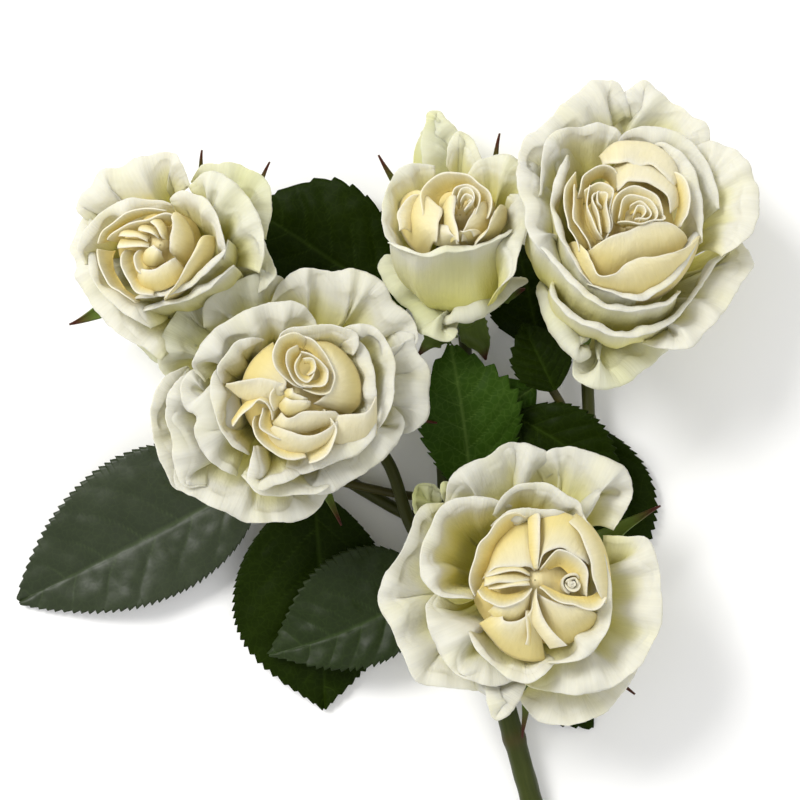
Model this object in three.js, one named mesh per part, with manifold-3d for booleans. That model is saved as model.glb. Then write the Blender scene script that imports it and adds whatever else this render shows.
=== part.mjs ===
// A cut spray rose: one green stem that carries five white garden-rose blooms on their own stalks,
// with toothed leaflets between them. It lies on its back on a flat surface, blooms up.
// Millimetres, +Z up, +Y from the cut end towards the crown. The pieces are laid out about the crown's
// centre, and the finished spray is then set down with the origin on the surface, under its middle.
import * as THREE from "three";
import { mergeVertices } from "three/addons/utils/BufferGeometryUtils.js";
import Module from "manifold-3d";

const wasm = await Module();
wasm.setup();

// ---- Driving sizes ----
const GAP = 0.4; // between pieces that touch
const PETAL_THICKNESS = 0.7;
const LEAF_THICKNESS = 0.8;
const SEPAL_THICKNESS = 0.9;
const SEPAL_WIDTH = 5;

const STEM_CUT_RADIUS = 3.5; // at the cut end
const STEM_TOP_RADIUS = 2.4; // where the last flower stalk leaves it
const STEM_CUT_ANGLE = 40; // degrees between the cut and the stem's cross-section
const STEM_NODES = [0.16, 0.36, 0.56]; // leaf scars, as shares of the stem's length
const STEM_NODE_HEIGHT = 0.45;
const PRICKLES = [
  { along: 0.1, around: 70, length: 4.2 },
  { along: 0.27, around: -75, length: 3.6 },
  { along: 0.47, around: 20, length: 3.2 },
];
const PRICKLE_RADIUS = 1.5;

const HIP_LENGTH = 9.5; // the swollen top of a flower stalk, under the petals
const HIP_RADIUS = 4.3;
const STALK_RADIUS = 1.6;
const LEAF_STALK_RADIUS = 1.1;
const LEAF_END_WIDTH = 0.9; // of a leaflet's base and tip

const SIDES = { stem: 10, stalk: 8, hip: 10, heart: 14 };

// The main stem's centre line, from the cut end to the crown.
const STEM_PATH = [
  [64, -248, 4.4],
  [51, -170, 4.2],
  [34, -104, 5.2],
  [27, -79, 6.4],
  [18, -50, 7.6],
  [12.5, -28, 8.4],
  [11.5, -14, 9],
];

// Each bloom stands on its hip at base and faces along the line from base to face. It holds a furled heart,
// an inner and an outer whorl of petals [azimuth, rim radius, rim height], and five sepals
// [azimuth, length, lift].
const BLOOMS = {
  a: {
    base: [30.5, -46.5, 18],
    face: [32.1, -42.3, 51],
    heart: { radius: 17, height: 31 },
    inner: [
      [60, 24, 31],
      [180, 24, 30],
      [300, 24, 29],
    ],
    outer: [
      [40, 32, 25],
      [112, 34, 23],
      [184, 35, 21],
      [256, 34, 20],
      [328, 33, 23],
    ],
    sepals: [
      [28, 36, 7],
      [-43, 36, 6],
      [-90, 36, -6],
      [100, 26, 4],
      [170, 26, 4],
    ],
    stalk: [
      [29.4, -50, 5.2],
      [26, -55, 4.6],
      [20, -56, 7.2],
    ],
  },
  b: {
    base: [-28.3, 0.5, 18],
    face: [-23.8, 1.9, 51],
    heart: { radius: 17, height: 31 },
    inner: [
      [90, 23, 30],
      [210, 24, 30],
      [330, 24, 29],
    ],
    outer: [
      [40, 32, 25],
      [112, 28, 27],
      [184, 33, 22],
      [256, 34, 20],
      [328, 32, 23],
    ],
    sepals: [
      [-67, 31, 2],
      [-10, 32, 3],
      [62, 24, 4],
      [134, 20, 3],
      [206, 26, 4],
    ],
    stalk: [
      [-28, -4, 4],
      [-19, -16, 3.2],
      [-6, -25, 3.6],
      [6, -31, 6],
      [13, -33, 8],
    ],
  },
  c: {
    base: [51, 27.2, 20],
    face: [56, 43.4, 49.5],
    heart: { radius: 15, height: 33 },
    inner: [
      [90, 21, 34],
      [210, 20, 30],
      [330, 22, 32],
    ],
    outer: [
      [18, 31, 31],
      [90, 32, 36],
      [162, 23, 27],
      [234, 22.5, 11],
      [306, 29, 14],
    ],
    sepals: [
      [-30, 26, 2],
      [42, 24, 3],
      [114, 22, 3],
      [186, 18, 2],
      [-102, 24, -5],
    ],
    stalk: [
      [47.6, 8, 9],
      [47.8, -6, 9],
      [46.5, -22, 8.5],
      [42, -46, 6.5],
      [35, -62, 5],
      [23.5, -68, 6.8],
    ],
  },
  d: {
    base: [15.8, 25, 17.5],
    face: [14.9, 46.2, 47],
    heart: { radius: 12.5, height: 36 },
    inner: [],
    outer: [
      [96, 21, 37],
      [24, 16, 32],
      [168, 19, 31],
      [240, 20, 18],
      [312, 16, 15],
    ],
    sepals: [
      [122, 36, 10],
      [70, 36, 11],
      [-66, 16, -8],
      [-128, 20, -5],
      [10, 15, 2],
    ],
    stalk: [
      [16.6, 14, 6.4],
      [16.5, 2, 6.5],
      [13.5, -9, 8.2],
    ],
  },
  e: {
    base: [-53.9, 32.6, 16],
    face: [-62.6, 39.5, 46],
    heart: { radius: 14.5, height: 28 },
    inner: [
      [30, 21, 27],
      [150, 20, 29],
      [270, 18.5, 26],
    ],
    outer: [
      [30, 29, 23],
      [120, 24, 27],
      [210, 25, 21],
      [300, 16.5, 9],
    ],
    sepals: [
      [51, 31, 6],
      [205, 30, 2],
      [82, 28, 8],
      [130, 20, 4],
      [-60, 16, -4],
    ],
    stalk: [
      [-47, 24, 4.2],
      [-36, 14, 3.4],
      [-18, 0, 5],
      [-3.5, -15, 9.8],
      [4, -34, 10.5],
      [15, -46, 8],
    ],
  },
};

// The stalks of the two compound leaves.
const LEAF_STALKS = {
  left: [
    [10.5, -25, 8],
    [0, -24, 6.4],
    [-12, -21.5, 6.6],
    [-22, -19.5, 7.2],
    [-33, -18, 7.8],
  ],
  right: [
    [47.5, -20, 7],
    [44.5, -9, 12],
    [40.5, -1, 14.5],
    [37, 5, 15.5],
    [35, 13, 14.5],
  ],
};

// Each leaflet runs from base to tip; arch lifts its middle, fold raises its sides and roll turns it
// about its midrib, in degrees.
const LEAFLETS = {
  left_end: { base: [-36, -20, 7], tip: [-97, -51, 1.6], width: 42, arch: 2, fold: 4, roll: 0 },
  left_low: { base: [-22, -23.5, 6], tip: [-19.5, -79, 1.2], width: 36, arch: 2, fold: 3, roll: 0 },
  left_front: { base: [8, -47, 9.8], tip: [-33.2, -64.5, 8.5], width: 32, arch: 3, fold: 5, roll: 0 },
  back_left: { base: [1.5, 23, 7], tip: [-38.7, 49.5, 5], width: 36, arch: 2, fold: 4, roll: 0 },
  middle: { base: [18, -24, 15], tip: [12.2, 13.2, 20.5], width: 27, arch: 2.5, fold: 5, roll: 0 },
  right_front: { base: [29, -4, 16], tip: [56, -23, 13], width: 20, arch: 2, fold: -6, roll: 10 },
  right_back: { base: [48.5, -7, 2.4], tip: [60, -45, 2], width: 26, arch: 0.5, fold: 2, roll: 0 },
  side_end: { base: [35, 14.5, 12], tip: [30, 40, 4], width: 22, arch: 1.5, fold: 5, roll: 0 },
  side_low: { base: [34, 3.5, 12.8], tip: [22, -5, 10], width: 12, arch: 1, fold: 4, roll: 0 },
  side_middle: { base: [38.5, 2.5, 18.4], tip: [30.5, 19, 20], width: 16, arch: 1, fold: 4, roll: 0 },
  under_bloom: { base: [36, -66, 3], tip: [49, -84, 1.4], width: 16, arch: 1, fold: 4, roll: 0 },
};

const PETAL_GRID = { across: 5, along: 5 };
const LEAF_GRID = { across: 4, along: 6 };
const SEPAL_GRID = { across: 2, along: 4 };

// ---- Materials ----
const finish = (color, roughness) =>
  new THREE.MeshStandardMaterial({ color, roughness, metalness: 0 });
const HEART = finish("#efe2b4", 0.6);
const PETAL = finish("#f1efe0", 0.6);
const GREEN_WOOD = finish("#6f8040", 0.5);
const SEPAL = finish("#7d9a4e", 0.6);
const LEAF = finish("#2f4a26", 0.4);

// ---- Tools ----
const vector = (xyz) => new THREE.Vector3(...xyz);
const radians = THREE.MathUtils.degToRad;
const spline = (points) => new THREE.CatmullRomCurve3(points.map(vector));

function toSolid(geometry) {
  const bare = geometry.clone();
  bare.deleteAttribute("normal");
  bare.deleteAttribute("uv");
  const merged = mergeVertices(bare, 1e-4);
  return new wasm.Manifold(
    new wasm.Mesh({
      numProp: 3,
      vertProperties: merged.attributes.position.array,
      triVerts: new Uint32Array(merged.index.array),
    }),
  );
}

function toGeometry(solid) {
  const made = solid.getMesh();
  const geometry = new THREE.BufferGeometry();
  geometry.setAttribute("position", new THREE.BufferAttribute(Float32Array.from(made.vertProperties), 3));
  geometry.setIndex(new THREE.BufferAttribute(Uint32Array.from(made.triVerts), 1));
  geometry.computeVertexNormals();
  return geometry;
}

// A closed thick sheet about the surface at(s, t), with s from -1 to 1 across it and t from 0 to 1 along it:
// a flat box, bent so that its two faces lie half a thickness off that surface.
function sheet(at, thickness, { across, along }) {
  const box = new THREE.BoxGeometry(2, 1, 1, across, along, 1);
  const position = box.attributes.position;
  const step = 0.01;
  for (let i = 0; i < position.count; i++) {
    const s = position.getX(i);
    const t = position.getY(i) + 0.5;
    const acrossIt = at(s + step, t).sub(at(s - step, t));
    const alongIt = at(s, Math.min(t + step, 1)).sub(at(s, Math.max(t - step, 0)));
    const normal = acrossIt.cross(alongIt).normalize();
    const point = at(s, t).addScaledVector(normal, position.getZ(i) * thickness);
    position.setXYZ(i, point.x, point.y, point.z);
  }
  return box;
}

// A round rod along a curve, whose radius at t from 0 to 1 is radiusAt(t): a cylinder, bent.
function rod(curve, radiusAt, sides, steps) {
  const cylinder = new THREE.CylinderGeometry(1, 1, 1, sides, steps);
  const position = cylinder.attributes.position;
  const frames = curve.computeFrenetFrames(steps, false);
  for (let i = 0; i < position.count; i++) {
    const t = position.getY(i) + 0.5;
    const k = Math.round(t * steps);
    const radius = radiusAt(t);
    const point = curve
      .getPointAt(t)
      .addScaledVector(frames.binormals[k], position.getX(i) * radius)
      .addScaledVector(frames.normals[k], position.getZ(i) * radius);
    position.setXYZ(i, point.x, point.y, point.z);
  }
  return cylinder;
}

// A bloom's own frame: local z along its axis, local x as near to +X as it can be.
function bloomFrame({ base, face }) {
  const origin = vector(base);
  const z = vector(face).sub(origin).normalize();
  const x = new THREE.Vector3(1, 0, 0).addScaledVector(z, -z.x).normalize();
  const y = new THREE.Vector3().crossVectors(z, x);
  return new THREE.Matrix4().makeBasis(x, y, z).setPosition(origin);
}

const polar = (azimuth, radius, height) =>
  new THREE.Vector3(radius * Math.cos(azimuth), radius * Math.sin(azimuth), height);

// ---- Pieces ----
const spray = new THREE.Group();

function add(name, geometry, material) {
  const mesh = new THREE.Mesh(geometry, material);
  mesh.name = name;
  spray.add(mesh);
  return mesh;
}

const stemCurve = spline(STEM_PATH);

// The stem's radius tapers to the crown and swells at each leaf scar. grown is how much thicker to make it.
function stemRadius(t, grown) {
  const scars = STEM_NODES.map((at) => Math.exp(-(((t - at) / 0.012) ** 2)) * STEM_NODE_HEIGHT);
  return (
    THREE.MathUtils.lerp(STEM_CUT_RADIUS, STEM_TOP_RADIUS, t) + scars.reduce((a, b) => a + b) + grown
  );
}

const STEM_STEPS = 40;
const stemRod = (grown) => toSolid(rod(stemCurve, (t) => stemRadius(t, grown), SIDES.stem, STEM_STEPS));

// A prickle is a small cone that leans towards the cut end.
function prickle({ along, around, length }) {
  const tangent = stemCurve.getTangentAt(along);
  const outward = new THREE.Vector3(0, 0, 1).applyAxisAngle(tangent, radians(around));
  const lean = outward.clone().addScaledVector(tangent, -0.45).normalize();
  const sunk = stemRadius(along, 0) * 0.6;
  const cone = new THREE.ConeGeometry(PRICKLE_RADIUS, length + sunk, 6);
  cone.translate(0, (length + sunk) / 2, 0);
  cone.applyQuaternion(new THREE.Quaternion().setFromUnitVectors(new THREE.Vector3(0, 1, 0), lean));
  const root = stemCurve.getPointAt(along).addScaledVector(outward, stemRadius(along, 0) - sunk);
  cone.translate(...root.toArray());
  return toSolid(cone);
}

// The florist's slanted cut: what lies past it is taken off the stem.
function cutAway() {
  const size = STEM_CUT_RADIUS * 8;
  const block = new THREE.BoxGeometry(size, size, size);
  block.translate(0, -size / 2, 0);
  block.rotateX(radians(STEM_CUT_ANGLE));
  const [x, y, z] = STEM_PATH[0];
  const clear = STEM_CUT_RADIUS * 1.2;
  block.translate(x, y + clear, z);
  return toSolid(block);
}

const stem = PRICKLES.reduce((solid, p) => solid.add(prickle(p)), stemRod(0)).subtract(cutAway());
add("stem", toGeometry(stem), GREEN_WOOD);
const aroundStem = stemRod(GAP);

// Where a petal of a whorl runs, in its bloom's frame. It leaves the hip's rim nearly flat and stands up
// into a cup, and its shoulders are lower than the middle of its rim.
function petalSurface(frame, [azimuth, radius, height], share, start) {
  const profile = new THREE.CubicBezierCurve(
    new THREE.Vector2(start.radius, start.height),
    new THREE.Vector2(THREE.MathUtils.lerp(start.radius, radius, 0.6), start.height + 0.08 * height),
    new THREE.Vector2(THREE.MathUtils.lerp(start.radius, radius, 0.98), start.height + 0.55 * height),
    new THREE.Vector2(radius, height),
  );
  return (s, t) => {
    const shoulder = 1 - 0.2 * Math.abs(s) ** 3;
    const [r, h] = profile.getPoint(t * shoulder).toArray();
    const half = radians(share / 2) - (GAP + PETAL_THICKNESS / 2) / r;
    return polar(radians(azimuth) + s * half, r, h).applyMatrix4(frame);
  };
}

const WHORL_STEP = PETAL_THICKNESS + 1.5 * GAP; // from one whorl's foot to the next
const HEART_FOOT = 3.2;
const HEART_LEVEL = 1; // of the heart's foot, over the top of the hip
const WHORLS = {
  inner: { radius: HEART_FOOT + WHORL_STEP, height: HEART_LEVEL - GAP },
  outer: { radius: HEART_FOOT + 2 * WHORL_STEP, height: HEART_LEVEL - 4 * GAP },
};

// The furled inner petals, as one closed bud that is a little hollow on top.
function heart({ radius, height }) {
  const outline = new THREE.SplineCurve(
    [
      [HEART_FOOT, HEART_LEVEL],
      [radius * 0.72, height * 0.22],
      [radius, height * 0.62],
      [radius * 0.86, height],
    ].map(([r, h]) => new THREE.Vector2(r, h)),
  );
  const top = new THREE.Vector2(0, height * 0.86);
  const foot = new THREE.Vector2(0, HEART_LEVEL);
  const lathe = new THREE.LatheGeometry([foot, ...outline.getPoints(6), top], SIDES.heart);
  return lathe.rotateX(Math.PI / 2);
}

// The swollen hip, whose top closes just under the petals.
function hip() {
  const profile = [
    [0, -HIP_LENGTH],
    [STALK_RADIUS * 0.98, -HIP_LENGTH],
    [HIP_RADIUS * 0.72, -HIP_LENGTH * 0.78],
    [HIP_RADIUS, -HIP_LENGTH * 0.45],
    [HIP_RADIUS * 0.86, -HIP_LENGTH * 0.16],
    [HIP_RADIUS, -GAP * 2],
    [0, -GAP * 2],
  ];
  const lathe = new THREE.LatheGeometry(
    profile.map(([r, h]) => new THREE.Vector2(r, h)),
    SIDES.hip,
  );
  return lathe.rotateX(Math.PI / 2);
}

// A sepal leaves the hip's shoulder, widens and runs out to a point under the petals.
function sepalSurface(frame, [azimuth, length, lift]) {
  const root = HIP_RADIUS * 0.6;
  const level = -3 * GAP - SEPAL_THICKNESS;
  const profile = new THREE.CubicBezierCurve(
    new THREE.Vector2(root, level),
    new THREE.Vector2(root + length * 0.35, level - 0.6),
    new THREE.Vector2(root + length * 0.7, level + (lift - level) * 0.35),
    new THREE.Vector2(length, lift),
  );
  return (s, t) => {
    const [r, h] = profile.getPoint(t).toArray();
    const half = (SEPAL_WIDTH / 2) * (0.12 + 0.88 * Math.sin(Math.PI * Math.min(1, t * 0.93 + 0.07)) ** 0.8);
    const centre = polar(radians(azimuth), r, h);
    const side = polar(radians(azimuth + 90), s * half, 0);
    return centre.add(side).applyMatrix4(frame);
  };
}

// A flower's stalk alone, from inside its hip to inside the stem. grown is how much thicker to make it.
function stalkRod(frame, { stalk }, grown) {
  const neck = new THREE.Vector3(0, 0, -HIP_LENGTH * 0.9).applyMatrix4(frame);
  const below = new THREE.Vector3(0, 0, -HIP_LENGTH * 1.12).applyMatrix4(frame);
  const curve = new THREE.CatmullRomCurve3([neck, below, ...stalk.map(vector)], false, "centripetal");
  const steps = Math.max(7, Math.round(curve.getLength() / 5));
  return toSolid(rod(curve, () => STALK_RADIUS + grown, SIDES.stalk, steps));
}

// A flower's stalk, its hip and its sepals grow as one piece.
function flowerStalk(frame, bloom) {
  const pieces = [
    toSolid(hip().applyMatrix4(frame)),
    ...bloom.sepals.map((row) => toSolid(sheet(sepalSurface(frame, row), SEPAL_THICKNESS, SEPAL_GRID))),
  ];
  return pieces.reduce((solid, piece) => solid.add(piece), stalkRod(frame, bloom, 0)).subtract(aroundStem);
}

// The largest of a solid's separate bodies.
const largest = (solid) => solid.decompose().reduce((a, b) => (b.volume() > a.volume() ? b : a));

const aroundStalk = {};
for (const [letter, bloom] of Object.entries(BLOOMS)) {
  const frame = bloomFrame(bloom);
  aroundStalk[letter] = stalkRod(frame, bloom, GAP);
  add(`heart_${letter}`, heart(bloom.heart).applyMatrix4(frame), HEART);
  for (const whorl of ["inner", "outer"]) {
    bloom[whorl].forEach((row, i) => {
      const surface = petalSurface(frame, row, 360 / bloom[whorl].length, WHORLS[whorl]);
      add(`petal_${letter}_${whorl}_${i + 1}`, sheet(surface, PETAL_THICKNESS, PETAL_GRID), PETAL);
    });
  }
  add(`flower_stalk_${letter}`, toGeometry(largest(flowerStalk(frame, bloom))), SEPAL);
}

const leafStalk = (points) => toSolid(rod(spline(points), () => LEAF_STALK_RADIUS, SIDES.stalk, 12));

// The left leaf stalk grows from the stem and the right one from flower c's stalk: both are cut clear.
for (const [name, points] of Object.entries(LEAF_STALKS)) {
  const clear = leafStalk(points).subtract(aroundStem).subtract(aroundStalk.c);
  add(`leaf_stalk_${name}`, toGeometry(largest(clear)), GREEN_WOOD);
}

// A leaflet is widest a little below its middle and ends in a point.
function leafSurface({ base, tip, width, arch, fold, roll }) {
  const from = vector(base);
  const run = vector(tip).sub(from);
  const axis = run.clone().normalize();
  const up = new THREE.Vector3(0, 0, 1).addScaledVector(axis, -axis.z).normalize();
  up.applyAxisAngle(axis, radians(roll));
  const side = new THREE.Vector3().crossVectors(axis, up);
  return (s, t) => {
    const half = LEAF_END_WIDTH / 2 + (width / 2) * Math.sin(Math.PI * t ** 0.85) ** 0.85;
    return from
      .clone()
      .addScaledVector(run, t)
      .addScaledVector(side, s * half)
      .addScaledVector(up, arch * 4 * t * (1 - t) + Math.abs(s) * half * Math.tan(radians(fold)));
  };
}

for (const [name, leaflet] of Object.entries(LEAFLETS)) {
  add(`leaflet_${name}`, sheet(leafSurface(leaflet), LEAF_THICKNESS, LEAF_GRID), LEAF);
}

const box = new THREE.Box3().setFromObject(spray);
const middle = box.getCenter(new THREE.Vector3());
spray.position.set(-middle.x, -middle.y, -box.min.z);

export default spray;
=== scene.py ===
"""A cut spray rose, lying on its back on a pale surface and seen from straight above.

Layout units are millimetres about the crown's centre, as in the part's own source. Petal rims are laid
out in plan about the middle of their bloom's face: azimuth in degrees from +X, distance in hundredths of
the nominal bloom radius, and height in millimetres along the bloom's axis.
"""

import math

import bpy
import numpy as np
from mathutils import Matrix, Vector, noise


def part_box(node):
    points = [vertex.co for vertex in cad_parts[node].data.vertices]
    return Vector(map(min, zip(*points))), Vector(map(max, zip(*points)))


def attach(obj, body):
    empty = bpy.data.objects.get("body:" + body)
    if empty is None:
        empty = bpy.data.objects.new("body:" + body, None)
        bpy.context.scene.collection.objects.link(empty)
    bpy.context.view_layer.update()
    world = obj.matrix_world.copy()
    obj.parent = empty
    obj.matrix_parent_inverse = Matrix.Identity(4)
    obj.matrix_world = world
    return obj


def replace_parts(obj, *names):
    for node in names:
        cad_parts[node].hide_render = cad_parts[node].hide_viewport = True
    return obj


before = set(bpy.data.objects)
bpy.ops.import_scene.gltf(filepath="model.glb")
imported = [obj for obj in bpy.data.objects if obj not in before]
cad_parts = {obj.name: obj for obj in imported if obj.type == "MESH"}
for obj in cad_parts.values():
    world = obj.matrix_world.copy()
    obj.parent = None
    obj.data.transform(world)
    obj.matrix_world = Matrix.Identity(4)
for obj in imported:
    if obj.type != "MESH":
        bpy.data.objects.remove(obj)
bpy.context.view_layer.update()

MM = 0.001


# ---- The frame: where the crown's layout lies in the row ----
def box_middle(node):
    low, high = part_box(node)
    return (np.array(low) + np.array(high)) / 2


HEART_A_MIDDLE = np.array([31.42, -44.08, 34.63])  # of heart_a's box, in the layout
CROWN = box_middle("heart_a") - HEART_A_MIDDLE * MM


def to_row(points):
    """Layout millimetres to row metres."""
    return np.asarray(points, float) * MM + CROWN


# ---- Driving sizes ----
BLOOM_RADIUS = 33.6
PETAL_THICKNESS = 0.3
LEAF_THICKNESS = 0.35
SEPAL_THICKNESS = 0.5
HIP_LENGTH = 9.5
HIP_RADIUS = 4.3
STALK_RADIUS = 1.6
LEAF_STALK_RADIUS = 1.1
LEAFLET_STALK_RADIUS = LEAF_STALK_RADIUS * 0.7
STEM_CUT_RADIUS = 3.5
STEM_TOP_RADIUS = 2.4

LOWEST = 0.4  # every face is kept above this height of the layout

FACE_HEIGHT = 45.0
CAMERA_HEIGHT = 685.0
CAMERA_LENS = 120.0
SENSOR = 36.0


# ---- Curves and grids ----
def spline(points, count):
    """count points evenly along a smooth curve through the given ones."""
    points = np.asarray(points, float)
    knots = np.concatenate([[0.0], np.cumsum(np.linalg.norm(np.diff(points, axis=0), axis=1))])
    slopes = np.gradient(points, knots, axis=0)
    t = np.linspace(0.0, knots[-1], count)
    i = np.clip(np.searchsorted(knots, t, side="right") - 1, 0, len(knots) - 2)
    step = (knots[i + 1] - knots[i])[:, None]
    s = ((t - knots[i])[:, None]) / step
    a, b = points[i], points[i + 1]
    return (
        a * (1 + 2 * s) * (1 - s) ** 2
        + b * s**2 * (3 - 2 * s)
        + step * (slopes[i] * s * (1 - s) ** 2 - slopes[i + 1] * s**2 * (1 - s))
    )


def unit(v):
    return v / np.maximum(np.linalg.norm(v, axis=-1, keepdims=True), 1e-9)


NOISE_GAIN = 1.6  # brings mathutils noise to about -1 to 1


def wander(x, y, seed, scale):
    """Smooth noise over a grid of places."""
    x, y = np.broadcast_arrays(x, y)
    values = [noise.noise(Vector((a * scale, b * scale, seed * 7.31))) for a, b in zip(x.flat, y.flat)]
    return np.array(values).reshape(x.shape) * NOISE_GAIN


def grid_object(name, grid, material, fields=None, closed=False):
    """A mesh of quads over a (rows, columns, 3) grid of layout points, with its fields as attributes."""
    rows, columns = grid.shape[:2]
    grid = np.concatenate([grid[..., :2], np.maximum(grid[..., 2:], LOWEST)], axis=-1)
    index = np.arange(rows * columns).reshape(rows, columns)
    if closed:
        index = np.hstack([index, index[:, :1]])
    quads = np.stack([index[:-1, :-1], index[:-1, 1:], index[1:, 1:], index[1:, :-1]], axis=-1)
    mesh = bpy.data.meshes.new(name)
    mesh.from_pydata(to_row(grid.reshape(-1, 3)).tolist(), [], quads.reshape(-1, 4).tolist())
    for key, values in (fields or {}).items():
        values = np.broadcast_to(values, (rows, columns))
        layer = mesh.attributes.new(key, "FLOAT", "POINT")
        layer.data.foreach_set("value", np.ascontiguousarray(values, np.float32).ravel())
    mesh.shade_smooth()
    piece = bpy.data.objects.new(name, mesh)
    bpy.context.scene.collection.objects.link(piece)
    piece.data.materials.append(material)
    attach(piece, "root")
    return piece


def thicken(piece, thickness):
    solidify = piece.modifiers.new("thickness", "SOLIDIFY")
    solidify.thickness = thickness * MM
    solidify.offset = 0.0


# ---- Materials ----
class Nodes:
    """A short way to write a node tree."""

    def __init__(self, name):
        self.material = bpy.data.materials.new(name)
        self.material.use_nodes = True
        self.tree = self.material.node_tree
        self.tree.nodes.clear()
        self.output = self.tree.nodes.new("ShaderNodeOutputMaterial")

    def add(self, kind, settings=None, **inputs):
        node = self.tree.nodes.new("ShaderNode" + kind)
        for key, value in (settings or {}).items():
            setattr(node, key, value)
        for key, value in inputs.items():
            self.put(node.inputs[key.replace("_", " ")], value)
        return node

    def put(self, socket, value):
        if isinstance(value, bpy.types.NodeSocket):
            self.tree.links.new(value, socket)
        else:
            socket.default_value = value

    def field(self, name):
        return self.add("Attribute", {"attribute_name": name}).outputs["Fac"]

    def math(self, operation, a, b=0.0, clamp=False):
        node = self.add("Math", {"operation": operation, "use_clamp": clamp})
        self.put(node.inputs[0], a)
        self.put(node.inputs[1], b)
        return node.outputs[0]

    def ramp(self, value, *stops):
        """stops are (place, colour or grey)."""
        node = self.add("ValToRGB", Fac=value)
        elements = node.color_ramp.elements
        while len(elements) < len(stops):
            elements.new(0.5)
        for element, (place, colour) in zip(elements, stops):
            element.position = place
            element.color = (colour,) * 3 + (1,) if isinstance(colour, float) else (*colour, 1)
        return node.outputs["Color"]

    def mix(self, share, a, b, blend="MIX"):
        node = self.add("Mix", {"data_type": "RGBA", "blend_type": blend})
        self.put(node.inputs[0], share)
        self.put(node.inputs[6], a if isinstance(a, bpy.types.NodeSocket) else (*a, 1))
        self.put(node.inputs[7], b if isinstance(b, bpy.types.NodeSocket) else (*b, 1))
        return node.outputs[2]

    def place(self, x, y, x_scale, y_scale, z=0.0):
        """A texture place made of two fields, each with its own scale."""
        node = self.add("CombineXYZ")
        self.put(node.inputs["X"], self.math("MULTIPLY", x, x_scale))
        self.put(node.inputs["Y"], self.math("MULTIPLY", y, y_scale))
        self.put(node.inputs["Z"], z)
        return node.outputs[0]

    def noise(self, vector, detail, rough):
        node = self.add("TexNoise", Vector=vector, Scale=1.0, Detail=detail, Roughness=rough)
        return node.outputs["Fac"]

    def bump(self, height, strength, distance, normal=None):
        node = self.add("Bump", Height=height, Strength=strength, Distance=distance * MM)
        if normal is not None:
            self.put(node.inputs["Normal"], normal)
        return node.outputs["Normal"]

    def finish(self, **inputs):
        shader = self.add("BsdfPrincipled", **inputs)
        self.tree.links.new(shader.outputs[0], self.output.inputs["Surface"])
        return self.material


def petal_material(name, rim, body, deep, foot, green_tint):
    """White at the rim, cream on its face, and yellower and darker where it dives into the bloom, which is
    partly the petal's own yellow base and partly painted shade; with fine fibres.
    """
    n = Nodes(name)
    across, along, depth = n.field("across"), n.field("along"), n.field("depth")
    tint = n.field("tint")
    fibres = n.noise(n.place(across, along, 1.5, 0.08), 4.0, 0.6)
    blotch = n.noise(n.place(across, along, 0.06, 0.06), 2.0, 0.5)
    wrinkle = n.noise(n.place(across, along, 0.35, 0.16), 3.0, 0.6)
    # Colour by depth below the rim, with random patches: partly the petals' own yellow base, partly painted
    # shade in the deep hollows.
    yellow_and_shade = n.math("ADD", depth, n.math("MULTIPLY", n.math("SUBTRACT", blotch, 0.5), 0.35), clamp=True)
    colour = n.ramp(yellow_and_shade, (0.0, rim), (0.12, body), (0.42, deep), (1.0, foot))
    patchy = n.math("ADD", blotch, 0.4, clamp=True)
    greened = n.mix(n.math("MULTIPLY", tint, patchy, clamp=True), colour, green_tint)
    streak = n.ramp(fibres, (0.3, 0.93), (0.7, 1.0))
    colour = n.mix(1.0, greened, streak, "MULTIPLY")
    soft = n.bump(wrinkle, 0.45, 1.1)
    normal = n.bump(fibres, 0.4, 0.2, soft)
    return n.finish(
        Base_Color=colour,
        Roughness=0.66,
        Specular_IOR_Level=0.2,
        Sheen_Weight=0.12,
        Sheen_Roughness=0.5,
        Subsurface_Weight=0.32,
        Subsurface_Radius=(1.0, 0.9, 0.6),
        Subsurface_Scale=0.002,
        Normal=normal,
    )


# The deep and foot colours are partly the petals' own yellow base and partly painted shade.
PETAL = petal_material(
    "petal",
    rim=(0.64, 0.625, 0.53),
    body=(0.64, 0.615, 0.38),
    deep=(0.66, 0.61, 0.20),
    foot=(0.58, 0.54, 0.09),
    green_tint=(0.47, 0.51, 0.11),
)
HEART = petal_material(
    "petal_heart",
    rim=(0.70, 0.66, 0.52),
    body=(0.71, 0.64, 0.41),
    deep=(0.71, 0.59, 0.25),
    foot=(0.66, 0.49, 0.13),
    green_tint=(0.5, 0.5, 0.2),
)


def leaf_material(name, face, painted_sheen, vein, gloss=0.03):
    """Dark green with painted sheen in broad cloudy patches, paler veins and a fine net of cells."""
    n = Nodes(name)
    across, along, veins = n.field("across"), n.field("along"), n.field("veins")
    cloud = n.noise(n.place(across, along, 0.09, 0.09), 3.0, 0.5)
    place = n.place(across, along, 0.55, 0.55)
    cells = n.add("TexVoronoi", {"feature": "DISTANCE_TO_EDGE"}, Vector=place, Scale=1.0)
    net = n.ramp(cells.outputs["Distance"], (0.0, 1.0), (0.1, 0.0))
    # Painted sheen: a lighter green mixed in by broad noise.
    colour = n.mix(cloud, face, painted_sheen)
    colour = n.mix(n.math("MULTIPLY", net, 0.10), colour, vein)
    colour = n.mix(n.math("MULTIPLY", veins, 0.5), colour, vein)
    fine = n.bump(cells.outputs["Distance"], 0.3, 0.12)
    normal = n.bump(cloud, 0.25, 0.8, fine)
    return n.finish(
        Base_Color=colour,
        Roughness=n.ramp(cloud, (0.3, 0.36), (0.7, 0.5)),
        Specular_IOR_Level=gloss,
        Normal=normal,
    )


LEAF = leaf_material("leaf", (0.005, 0.011, 0.0004), (0.012, 0.022, 0.0012), (0.04, 0.07, 0.008))
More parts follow.
